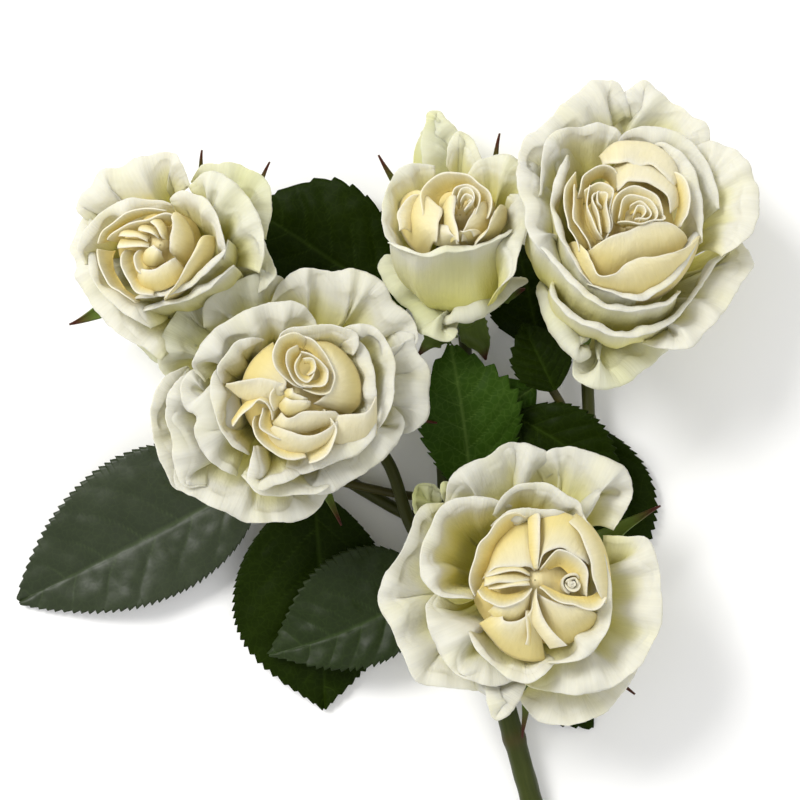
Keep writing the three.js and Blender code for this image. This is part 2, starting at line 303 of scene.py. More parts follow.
# A lighter, glossier copy of the leaf for one leaflet: its lighter colours are painted sheen where the light
# catches it.
SHEEN_PAINTED_LEAF = leaf_material(
    "sheen_painted_leaf", (0.012, 0.020, 0.005), (0.026, 0.037, 0.014), (0.06, 0.09, 0.03), gloss=0.3
)
# A slightly lighter, glossier copy of the leaf for one leaflet: its lighter colours are painted sheen.
HALF_SHEEN_LEAF = leaf_material(
    "half_sheen_leaf", (0.008, 0.016, 0.002), (0.018, 0.030, 0.006), (0.05, 0.085, 0.02), gloss=0.16
)
YOUNG_LEAF = leaf_material("young_leaf", (0.016, 0.042, 0.003), (0.03, 0.065, 0.006), (0.14, 0.22, 0.05))


def green_material(name, low, high, tip, roughness):
    """Green bark or calyx, which turns to another colour where the field tip is 1."""
    n = Nodes(name)
    across, along, end = n.field("across"), n.field("along"), n.field("tip")
    streak = n.noise(n.place(across, along, 1.2, 0.08), 4.0, 0.6)
    cloud = n.noise(n.place(across, along, 0.12, 0.12), 2.0, 0.5)
    pores = n.noise(n.place(across, along, 2.2, 2.2), 2.0, 0.5)
    colour = n.mix(streak, low, high)
    colour = n.mix(n.math("MULTIPLY", cloud, 0.5), colour, low)
    colour = n.mix(end, colour, tip)
    soft = n.bump(streak, 0.4, 0.25)
    normal = n.bump(pores, 0.25, 0.12, soft)
    return n.finish(Base_Color=colour, Roughness=roughness, Specular_IOR_Level=0.2, Normal=normal)


STEM = green_material("green_stem", (0.018, 0.026, 0.002), (0.055, 0.068, 0.008), (0.07, 0.035, 0.01), 0.42)
SEPAL = green_material("sepal_green", (0.06, 0.10, 0.012), (0.15, 0.20, 0.04), (0.06, 0.013, 0.006), 0.5)


# ---- Blooms ----
class Bloom:
    """A bloom's own frame: its base, its axis and the middle of its face in plan."""

    def __init__(self, base, lean, height, middle):
        self.base = np.array(base, float)
        azimuth, tilt = math.radians(lean[0]), math.radians(lean[1])
        flat = math.sin(tilt)
        self.axis = np.array([flat * math.cos(azimuth), flat * math.sin(azimuth), math.cos(tilt)])
        x = np.array([1.0, 0.0, 0.0])
        self.x = unit(x - self.axis * self.axis[0])
        self.y = np.cross(self.axis, self.x)
        self.height = height
        self.middle = np.array(middle, float)
        self.plan = np.linalg.inv(np.array([[self.x[0], self.y[0]], [self.x[1], self.y[1]]]))

    def local(self, rim, level):
        """Plan points (azimuth, distance[, height]) to this frame's x, y and height.

        The plan is drawn at FACE_HEIGHT: points above or below it keep their place as seen from the camera.
        """
        rim = np.array([(*point, 0.0)[:3] for point in rim])
        angles = np.radians(rim[:, 0])
        rays = np.stack([np.cos(angles), np.sin(angles)], axis=1)
        spots = self.middle + (rim[:, 1:2] / 100 * BLOOM_RADIUS) * rays
        heights = level + rim[:, 2]
        z = np.full(len(rim), FACE_HEIGHT)
        for _ in range(3):
            seen = spots * ((CAMERA_HEIGHT - z) / (CAMERA_HEIGHT - FACE_HEIGHT))[:, None]
            flat = (seen - self.base[:2] - self.axis[:2] * heights[:, None]) @ self.plan.T
            points = np.concatenate([flat, heights[:, None]], axis=1)
            z = self.world(points)[:, 2]
        return points

    def world(self, points):
        return (
            self.base
            + points[..., :1] * self.x
            + points[..., 1:2] * self.y
            + points[..., 2:3] * self.axis
        )


COLUMNS = 64
ROLL_ROWS = 11
CURL = 34  # degrees by which the end of the roll wanders along the rim
DENT = 0.8
FOOT_PULL, ROLL_PULL = 0.42, 0.38  # how far the slopes at the foot and at the roll carry into the face
# foot: radius and height where the petal leaves the hip, and narrow: how much it gathers there
# leave and arrive: the slopes of its face at the foot and below the roll
# roll and end: the radius of the rim's roll and the slope at its end
# ruffle, drop: the waves of the rim and how far its ends hang
# reach and shade: the depth below the rim over which its colour turns from rim to foot, and how strongly it
# does; the turn is partly the petal's own yellow base and partly painted shade
# fold stands for a foot drawn towards the bud's middle: shrink and depth say how far in and down
STYLES = {
    "guard": dict(
        foot=(5.0, 0.5), narrow=0.7, leave=32, arrive=34, roll=6.5, end=-14,
        ruffle=1.0, drop=4.0, rows=26, reach=24.0, shade=1.2,
    ),
    "cup": dict(
        foot=(4.0, 1.5), narrow=0.8, leave=42, arrive=66, roll=3.2, end=2,
        ruffle=0.6, drop=3.0, rows=24, reach=24.0, shade=1.2,
    ),
    "fold": dict(
        shrink=0.42, depth=6.5, leave=14, arrive=58, roll=1.5, end=5,
        ruffle=0.25, drop=1.0, rows=16, reach=9.0, shade=1.2,
    ),
}


def smooth(values, width):
    """Each column's running mean over width rows."""
    kernel = np.hanning(width + 2)[1:-1]
    kernel /= kernel.sum()
    padded = np.pad(values, ((width // 2, width // 2), (0, 0)), mode="edge")
    return np.stack([np.convolve(column, kernel, mode="valid") for column in padded.T], axis=1)


def petal(
    bloom, name, rim, level, style, seed, node=None, material=PETAL, tint=0.0, focus=(0, 0), **changes
):
    """One petal, from its foot to its rolled rim. The rim given is its outline as seen from above.

    The changes are to its style, and tint is how green it is at its foot.
    """
    s = {**STYLES[style], **changes}
    edge = spline(bloom.local(rim, level), COLUMNS)
    centre = bloom.local([focus], level)[0]
    u = np.linspace(-1.0, 1.0, COLUMNS)
    length = np.linalg.norm(np.diff(edge, axis=0), axis=1).sum()
    along_rim = unit(np.gradient(edge, axis=0))
    out = np.stack([along_rim[:, 1], -along_rim[:, 0], 0 * u], axis=1)
    away = edge - (centre if style == "fold" else np.array([0.0, 0.0, level]))
    out = unit(smooth(unit(out), 9)) * (np.sign((out * away).sum()) or 1.0)
    waves = wander(u * length, 0.0, seed, 0.12) + 0.4 * wander(u * length, 9.0, seed, 0.5)
    waves = waves + 0.2 * wander(u * length, 3.0, seed + 19, 1.1)
    edge = edge + out * (waves * s["ruffle"] * 0.25)[:, None]
    edge[:, 2] += wander(u * length, 31.0, seed, 0.12) * s["ruffle"] - s["drop"] * np.abs(u) ** 4

    # The roll starts inside the rim's outline, on the slope of the face.
    up = np.array([0.0, 0.0, 1.0])
    start = np.radians(np.full(COLUMNS, float(s["arrive"])))
    end = s["end"] + CURL * wander(u * length, 17.0, seed, 0.07)
    end = np.radians(np.minimum(end, s["arrive"] - 8))
    radius = s["roll"] * (0.9 + 0.3 * wander(u * length, 5.0, seed + 5, 0.08)) * (1 - 0.8 * np.abs(u) ** 3)
    radius = np.maximum(radius, 0.15)
    brink = edge - out * (radius * (np.sin(start) - np.sin(end)))[:, None]
    brink[:, 2] -= radius * (np.cos(end) - np.cos(start))

    if style == "fold":
        foot = centre + (brink - centre) * np.array([s["shrink"], s["shrink"], 1.0])
        foot[:, 2] = np.maximum(foot[:, 2] - s["depth"], 2.0)
    else:
        angles = np.unwrap(np.arctan2(edge[:, 1], edge[:, 0]))
        angles = angles.mean() + s["narrow"] * (angles - angles.mean())
        reach, height = s["foot"]
        foot = np.stack([reach * np.cos(angles), reach * np.sin(angles), np.full(COLUMNS, height)], axis=1)
    chord = np.linalg.norm(brink - foot, axis=1)[:, None]
    leave = math.radians(s["leave"])
    spread = unit((brink - foot) * np.array([1.0, 1.0, 0.0]))
    first = foot + chord * FOOT_PULL * (spread * math.cos(leave) + up * math.sin(leave))
    rise = out * np.cos(start)[:, None] + up * np.sin(start)[:, None]
    last = brink - chord * ROLL_PULL * rise
    v = np.linspace(0.0, 1.0, s["rows"])[:, None, None]
    body = foot * (1 - v) ** 3 + 3 * first * v * (1 - v) ** 2 + 3 * last * v**2 * (1 - v) + brink * v**3

    # Gentle unevenness of the face, none at the foot.
    v = v[..., 0]
    across = u * length / 2
    dents = wander(across[None] + 0 * v, v * 25.0, seed + 3, 0.075) * DENT * np.sin(np.pi * v * 0.75)
    dents = dents + 0.3 * wander(across[None] + 0 * v, v * 12.0, seed + 13, 0.3) * v**2
    face = unit(np.cross(np.gradient(body, axis=1), np.gradient(body, axis=0)))
    body = body + face * dents[..., None]

    turn = np.linspace(0.0, 1.0, ROLL_ROWS)[1:, None]
    slope = start[None] + (end - start)[None] * turn
    outward = (np.sin(start)[None] - np.sin(slope))[..., None] * out[None]
    upward = (np.cos(slope) - np.cos(start))[..., None] * up
    roll = brink[None] + radius[None, :, None] * (outward + upward)
    grid = np.concatenate([body, roll])
    v = np.concatenate([v[:, 0], np.full(len(turn), 1.0)])[:, None]

    # The colour deepens with height below the rim: partly the petal's own yellow base, partly painted shade
    # deep in the bloom.
    sunk = np.clip((level - grid[..., 2]) / s["reach"], 0.0, 1.0)
    fields = {
        "across": across[None] + 0 * v,
        "along": v * 30.0,
        "depth": np.clip(s["shade"] * sunk - 0.08, 0, 1),
        "tint": tint * (1 - 0.4 * np.abs(u))[None] * (1 - 0.5 * v),
    }
    piece = grid_object(name, bloom.world(grid), material, fields)
    thicken(piece, PETAL_THICKNESS)
    if node:
        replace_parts(piece, node)


# SHADE is painted shade, partly the petals' own yellow too: strongest on the hollow sides, weakest on the
# pale shells.
SHADE = {"out": 0.5, "in": 0.8, "loop": 0.7, "pale": 0.12}  # how deep a shell's colour is at its foot
SHELL_COLUMNS, SHELL_ROWS = 56, 18
LOOP_FOOT = 0.62  # a looped petal's foot is this share of its rim's distance from the middle of its curl
EDGE_WIDTH, EDGE_LIFT = 1.3, 0.3
RIM_SWAY = 0.6


def shell(bloom, name, face, level, drop, rim, foot, seed, node):
    """An inner petal between its rim and the line where it goes out of sight.

    Face "out" and "pale" show the back of a petal that leans over the heart, "in" its hollow side, and
    "loop" is the hollow side of one rolled about the spot given in place of its foot.
    """
    crest = bloom.local(rim, level)
    if face == "loop":
        spot = bloom.local([foot], level)[0]
        low = spot + (crest - spot) * np.array([LOOP_FOOT, LOOP_FOOT, 1.0]) - np.array([0.0, 0.0, drop])
    else:
        low = bloom.local(foot, level - drop)
    crest = spline(crest, SHELL_COLUMNS)
    low = spline(low, SHELL_COLUMNS)
    u = np.linspace(-1, 1, SHELL_COLUMNS)[None]
    v = np.linspace(0, 1, SHELL_ROWS)[:, None]
    length = np.linalg.norm(np.diff(crest, axis=0), axis=1).sum()
    width = np.linalg.norm(crest - low, axis=1)[None]
    across = u * length / 2
    everywhere = across + 0 * v
    hollow = v**1.7
    bulge = 1 - (1 - v) ** 2.4
    grid = low[None] + (crest - low)[None] * v[..., None]
    rise = hollow if face in ("in", "loop") else bulge
    grid[..., 2] = low[None, :, 2] + (crest - low)[None, :, 2] * rise
    edge = np.exp(-(((1 - v) * width / EDGE_WIDTH) ** 2))
    dents = 0.35 * wander(everywhere, v * width, seed, 0.16)
    dents = dents + 0.8 * wander(everywhere, v * 6, seed + 7, 0.07)
    ends = (1.0 + 0.25 * drop) * np.abs(u) ** 5
    grid[..., 2] += EDGE_LIFT * edge + dents * np.sin(np.pi * v * 0.85) - ends
    grid[..., 0] += RIM_SWAY * wander(everywhere, 3.0, seed + 9, 0.2) * v
    grid[..., 1] += RIM_SWAY * wander(everywhere, 3.0, seed + 11, 0.2) * v
    # The colour deepens towards the foot, where the petal goes out of sight: painted shade, partly the
    # petal's own yellow.
    depth = SHADE[face] * (1 - v) ** 1.2 + 0.10 - 0.07 * edge
    fields = {
        "across": everywhere,
        "along": v * width,
        "depth": np.clip(depth + 0 * u, 0, 1),
        "tint": 0.0,
    }
    piece = grid_object(name, bloom.world(grid), HEART, fields)
    thicken(piece, PETAL_THICKNESS)
    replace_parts(piece, node)


def heart_body(letter, reach, level, seed):
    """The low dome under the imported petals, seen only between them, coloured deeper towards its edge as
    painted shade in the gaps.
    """
    bloom = BLOOMS[letter]
    rings, spokes = 26, 120
    distance = np.repeat(np.linspace(0.5, reach, rings), spokes)
    azimuth = np.tile(np.linspace(0, 360, spokes, endpoint=False), rings)
    x = distance * np.cos(np.radians(azimuth))
    y = distance * np.sin(np.radians(azimuth))
    knob = 3.5 * np.exp(-((distance / 9) ** 2))
    shoulder = 8 * (distance / reach) ** 4
    heights = wander(x, y, seed, 0.055) + knob - shoulder
    grid = bloom.local(np.column_stack([azimuth, distance, heights]), level).reshape(rings, spokes, 3)
    fields = {
        "across": x.reshape(rings, spokes) * 0.3,
        "along": y.reshape(rings, spokes) * 0.3,
        # Painted shade: the colour deepens outwards so the gaps between petals read as shadow.
        "depth": np.clip(0.2 + 0.5 * distance / reach, 0, 1).reshape(rings, spokes),
        "tint": 0.0,
    }
    piece = grid_object(f"heart_body_{letter}", bloom.world(grid), HEART, fields, closed=True)
    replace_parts(piece, f"heart_{letter}")


BLOOMS = {
    "a": Bloom(base=(30.5, -46.5, 18), lean=(69, 7.7), height=33, middle=(32.4, -43.2)),
    "b": Bloom(base=(-28.3, 0.5, 18), lean=(17, 8.1), height=33, middle=(-24.7, 1.4)),
    "c": Bloom(base=(51, 27.2, 20), lean=(73.6, 29.8), height=34, middle=(55.2, 42.0)),
    "d": Bloom(base=(15.8, 25, 17.5), lean=(92, 36.0), height=36, middle=(14.4, 44.4)),
    "e": Bloom(base=(-53.9, 32.6, 16), lean=(141.6, 20.4), height=32, middle=(-57.6, 37.2)),
}

BELLY = dict(leave=2, arrive=96, roll=1.5, end=-25)  # a petal seen from outside, its rim leaning in

# Each row: CAD node it stands for (or a name of its own), style, level of its rim, rim points, changes.
PETALS = {
    "a": [
        ("outer_2", "guard", 22, [(140, 84), (128, 96), (112, 95), (98, 100), (92, 97), (84, 91),
         (78, 80)], {}),
        ("outer_1", "guard", 23, [(90, 82), (83, 94), (76, 98), (62, 101), (50, 102), (43, 96), (37, 82),
         (32, 68)], {}),
        ("outer_5", "guard", 24, [(33, 60), (27, 72), (20, 86), (8, 89), (-8, 92), (-24, 96), (-40, 97),
         (-55, 94), (-70, 87), (-84, 80), (-96, 74)], {}),
        ("lower", "guard", 15, [(-30, 90), (-42, 98), (-52, 102), (-62, 107), (-74, 107), (-84, 104),
         (-91, 97), (-98, 84)], {}),
        ("outer_3", "guard", 17, [(138, 84), (146, 96), (157, 96), (168, 98), (180, 109), (189, 113),
         (199, 108), (210, 109), (221, 111), (231, 99), (243, 88), (252, 78)], {}),
        ("outer_4", "guard", 20, [(238, 64), (244, 82), (249, 96), (254, 104), (258, 101), (262, 88),
         (267, 72)], {}),
        ("green_1", "guard", 12, [(153, 86), (151, 98), (146, 106), (141, 108), (137, 102),
         (136, 90)], dict(tint=1.3, roll=2)),
        ("green_2", "guard", 14, [(139, 84), (137, 92), (133, 96), (130, 91),
         (129, 82)], dict(tint=1.1, roll=1.5)),
        ("inner_3", "guard", 24, [(186, 70), (192, 79), (199, 82), (211, 84), (224, 87), (236, 86),
         (247, 82), (258, 74), (266, 66)], {}),
        ("inner_2", "cup", 30, [(197, 44), (193, 58), (188, 72), (180, 80), (170, 84), (155, 84),
         (140, 85), (129, 77), (117, 66), (106, 56)], {}),
        ("inner_1", "cup", 31, [(122, 56), (112, 64), (100, 69), (90, 70), (80, 69), (70, 65), (60, 64),
         (52, 58)], {}),
        ("cup_right", "cup", 31, [(-80, 60), (-68, 64), (-55, 66), (-42, 64), (-28, 61), (-15, 57),
         (0, 54), (18, 53), (34, 54), (46, 56), (58, 62)], {}),
        ("cup_low", "cup", 29, [(218, 60), (230, 65), (244, 68), (256, 73), (266, 74), (276, 68),
         (286, 60)], {}),
        ("cup_top", "cup", 32, [(128, 50), (112, 53), (98, 52), (84, 51), (70, 53), (58, 54)], {}),
    ],
    "b": [
        ("outer_1", "guard", 23, [(106, 68), (97, 82), (86, 91), (77, 90), (66, 98), (54, 101), (43, 96),
         (33, 99), (24, 95), (18, 84)], {}),
        ("right", "guard", 22, [(36, 82), (27, 94), (20, 92), (12, 96), (0, 94), (-11, 94), (-17, 88),
         (-23, 74)], {}),
        ("outer_5", "guard", 26, [(-6, 70), (-15, 80), (-25, 80), (-36, 77), (-48, 74), (-60, 73),
         (-72, 75), (-82, 72), (-90, 62)], {}),
        ("outer_4", "guard", 21, [(-62, 62), (-72, 74), (-80, 84), (-90, 91), (260, 93), (249, 98),
         (238, 99), (226, 104), (216, 108), (208, 98)], {}),
        ("outer_3", "guard", 19, [(226, 102), (217, 110), (208, 109), (196, 107), (186, 105), (178, 101),
         (171, 92), (165, 80)], {}),
        ("left", "guard", 23, [(226, 92), (219, 104), (208, 100), (198, 95), (188, 95), (180, 92),
         (172, 84), (166, 76)], {}),
        ("left_in", "guard", 26, [(234, 72), (222, 77), (210, 79), (199, 78), (193, 74), (187, 81),
         (178, 83), (169, 80), (163, 70)], {}),
        ("back_left", "guard", 16, [(176, 90), (167, 102), (158, 105), (149, 105), (141, 104), (134, 96),
         (128, 84)], dict(tint=0.5)),
        ("back_top", "guard", 21, [(144, 82), (136, 92), (126, 93), (114, 92), (104, 89), (97, 84),
         (92, 72)], dict(tint=0.3)),
        ("outer_2", "guard", 29, [(172, 66), (164, 78), (154, 78), (139, 74), (120, 70), (104, 68),
         (90, 66), (78, 58), (70, 48)], {}),
        ("inner_1", "cup", 33, [(114, 34), (106, 44), (96, 48), (84, 49), (70, 53), (56, 58), (45, 61),
         (38, 56), (34, 50)], {}),
        ("inner_3", "cup", 30, [(58, 54), (50, 66), (44, 72), (34, 74), (20, 74), (6, 70), (-8, 68),
         (-20, 65), (-30, 58)], {}),
        ("cup_right", "cup", 31, [(46, 58), (34, 60), (20, 58), (6, 57), (-8, 57), (-18, 53)], {}),
        ("inner_2", "cup", 30, [(158, 58), (168, 62), (182, 62), (196, 60), (208, 60), (220, 59),
         (232, 55)], {}),
        ("cup_low", "cup", 31, [(-10, 50), (-17, 58), (-26, 63), (-44, 61), (-60, 56), (-74, 56),
         (-88, 57), (-98, 54)], {}),
        ("tongue", "cup", 32, [(230, 48), (236, 60), (241, 72), (248, 74), (257, 67), (266, 62),
         (276, 56)], {}),
        ("under", "cup", 28, [(236, 70), (248, 76), (260, 74), (272, 72), (284, 72), (294, 68)], {}),
        ("cup_left", "cup", 31, [(172, 54), (162, 60), (150, 58), (138, 57), (128, 52), (120, 46)], {}),
    ],
    "c": [
        ("outer_2", "guard", 30, [(154, 82), (149, 92), (141, 97), (133, 95), (122, 97), (112, 102),
         (103, 106), (97, 105), (92, 97), (88, 84)], {}),
        ("top_right", "guard", 29, [(98, 90), (90, 99), (84, 104), (79, 100), (70, 93), (60, 90),
         (52, 89), (46, 82), (42, 70)], {}),
        ("back_top", "guard", 25, [(140, 84), (126, 90), (112, 94), (98, 92), (84, 94), (70, 88),
         (56, 82)], {}),
        ("outer_1", "guard", 30, [(54, 72), (47, 84), (38, 91), (24, 95), (10, 94), (0, 90), (-8, 82),
         (-14, 70)], {}),
        ("outer_5", "guard", 20, [(0, 72), (-8, 83), (-16, 92), (-29, 90), (-45, 92), (-56, 94),
         (-64, 98), (-72, 92), (-82, 80)], {}),
        ("outer_4", "guard", 9, [(-62, 82), (-74, 94), (-86, 106), (265, 117), (256, 120), (250, 116),
         (247, 102), (246, 86)], dict(tint=0.5)),
        ("outer_3", "guard", 29, [(140, 82), (150, 91), (160, 86), (170, 78), (182, 74), (190, 71),
         (198, 63), (206, 56)], {}),
        ("rolled", "guard", 11, [(210, 62), (213, 77), (219, 85), (230, 92), (241, 99), (248, 104),
         (252, 98), (252, 86)], dict(roll=2.6, end=-120, tint=0.4)),
        ("low_out", "guard", 23, [(210, 60), (219, 72), (230, 77), (248, 78), (262, 80), (276, 80),
         (290, 77), (306, 71), (322, 67), (338, 68), (352, 76)], BELLY),
        ("low_in", "cup", 29, [(178, 70), (190, 68), (202, 62), (216, 60), (232, 60), (250, 62),
         (268, 62), (284, 61), (298, 62), (312, 58)], BELLY),
        ("top_in", "cup", 31, [(158, 68), (146, 76), (132, 86), (120, 81), (107, 76), (98, 72),
         (92, 64)], {}),
        ("top_in_right", "cup", 31, [(100, 60), (92, 68), (80, 72), (68, 74), (56, 74), (44, 72),
         (30, 70), (14, 68)], {}),
        ("inner_1", "cup", 32, [(-8, 54), (6, 53), (20, 55), (34, 58), (49, 63), (60, 64), (70, 64),
         (80, 60)], {}),
        ("inner_2", "cup", 31, [(128, 70), (140, 65), (152, 62), (167, 58), (183, 53), (196, 49),
         (208, 47), (226, 47), (240, 47)], BELLY),
        ("inner_3", "cup", 31, [(232, 48), (248, 49), (262, 51), (274, 54), (288, 53), (303, 51),
         (318, 50), (332, 49), (350, 50), (364, 52)], BELLY),
    ],
    "d": [
        ("outer_3", "cup", 31, [(214, 44), (205, 50), (196, 55), (182, 56), (168, 56), (154, 55),
         (140, 54), (127, 50), (114, 44)], dict(tint=0.2)),
        ("outer_2", "cup", 31, [(30, 42), (20, 47), (8, 49), (-8, 49), (-22, 49), (-36, 51), (-48, 55),
         (-56, 54)], dict(tint=0.2)),
        ("top_right", "cup", 32, [(84, 34), (74, 41), (63, 48), (52, 54), (40, 58), (27, 57), (14, 50),
         (6, 42)], dict(tint=0.35)),
        ("outer_1", "guard", 25, [(126, 44), (120, 56), (112, 68), (107, 76), (102, 76), (98, 69),
         (92, 62), (86, 52)], dict(tint=0.8)),
        ("top_in", "cup", 29, [(104, 42), (98, 53), (91, 59), (84, 57), (76, 50), (69, 44),
         (62, 38)], dict(tint=0.4)),
        ("outer_4", "guard", 8, [(203, 54), (208, 65), (219, 72), (232, 76), (244, 79), (252, 89),
         (260, 91), (267, 87), (269, 76), (271, 66)], dict(tint=0.9)),
        ("outer_5", "guard", 9, [(256, 68), (263, 76), (272, 76), (282, 74), (292, 71), (302, 67),
         (310, 66), (317, 66), (319, 58)], dict(roll=2.4, end=-110, tint=0.4)),
        ("bowl", "cup", 33, [(196, 54), (202, 51), (208, 48), (221, 43), (234, 36), (250, 29), (262, 27),
         (275, 26), (290, 27), (306, 28), (-32, 32), (-20, 36),
         (-8, 38)], dict(BELLY, leave=26, arrive=90, tint=0.3, shade=0.6)),
    ],
    "e": [
        ("outer_2", "guard", 23, [(162, 56), (155, 68), (147, 66), (136, 66), (128, 67), (117, 62),
         (106, 64), (92, 66), (82, 67), (75, 60), (68, 48)], {}),
        ("outer_1", "guard", 17, [(70, 52), (62, 66), (55, 71), (46, 80), (37, 86), (30, 89), (22, 86),
         (14, 80), (6, 72)], dict(tint=0.8)),
        ("right", "guard", 17, [(12, 66), (4, 72), (-3, 77), (-9, 82), (-14, 87), (-20, 84),
         (-28, 72)], dict(tint=0.3)),
        ("right_in", "guard", 26, [(70, 48), (61, 60), (50, 67), (38, 70), (24, 72), (10, 74), (-4, 73),
         (-14, 68)], dict(tint=0.3)),
        ("outer_3", "guard", 22, [(152, 60), (163, 62), (174, 62), (183, 65), (190, 62), (200, 64),
         (214, 64), (231, 67), (248, 71), (260, 74), (268, 80)], {}),
        ("outer_4", "guard", 10, [(248, 68), (260, 76), (268, 84), (277, 86), (287, 80), (297, 70),
         (306, 58)], dict(tint=0.9)),
        ("inner_2", "cup", 29, [(192, 58), (182, 60), (172, 57), (162, 52), (150, 48), (132, 42),
         (118, 38), (104, 34), (90, 33), (78, 32)], {}),
        ("inner_1", "cup", 29, [(84, 36), (70, 42), (56, 44), (44, 47), (30, 46), (14, 45), (0, 46),
         (-10, 44)], {}),
        ("inner_3", "cup", 29, [(8, 46), (-6, 46), (-24, 41), (-42, 38), (-60, 37), (-78, 36), (-94, 37),
         (-108, 39), (-120, 42)], BELLY),
        ("low", "cup", 27, [(-14, 52), (-30, 48), (-48, 46), (-64, 44), (-80, 43), (-96, 45),
         (-112, 50)], BELLY),
        ("left_low", "cup", 27, [(182, 54), (194, 54), (206, 54), (220, 54), (234, 54), (248, 56),
         (260, 58)], {}),
    ],
}

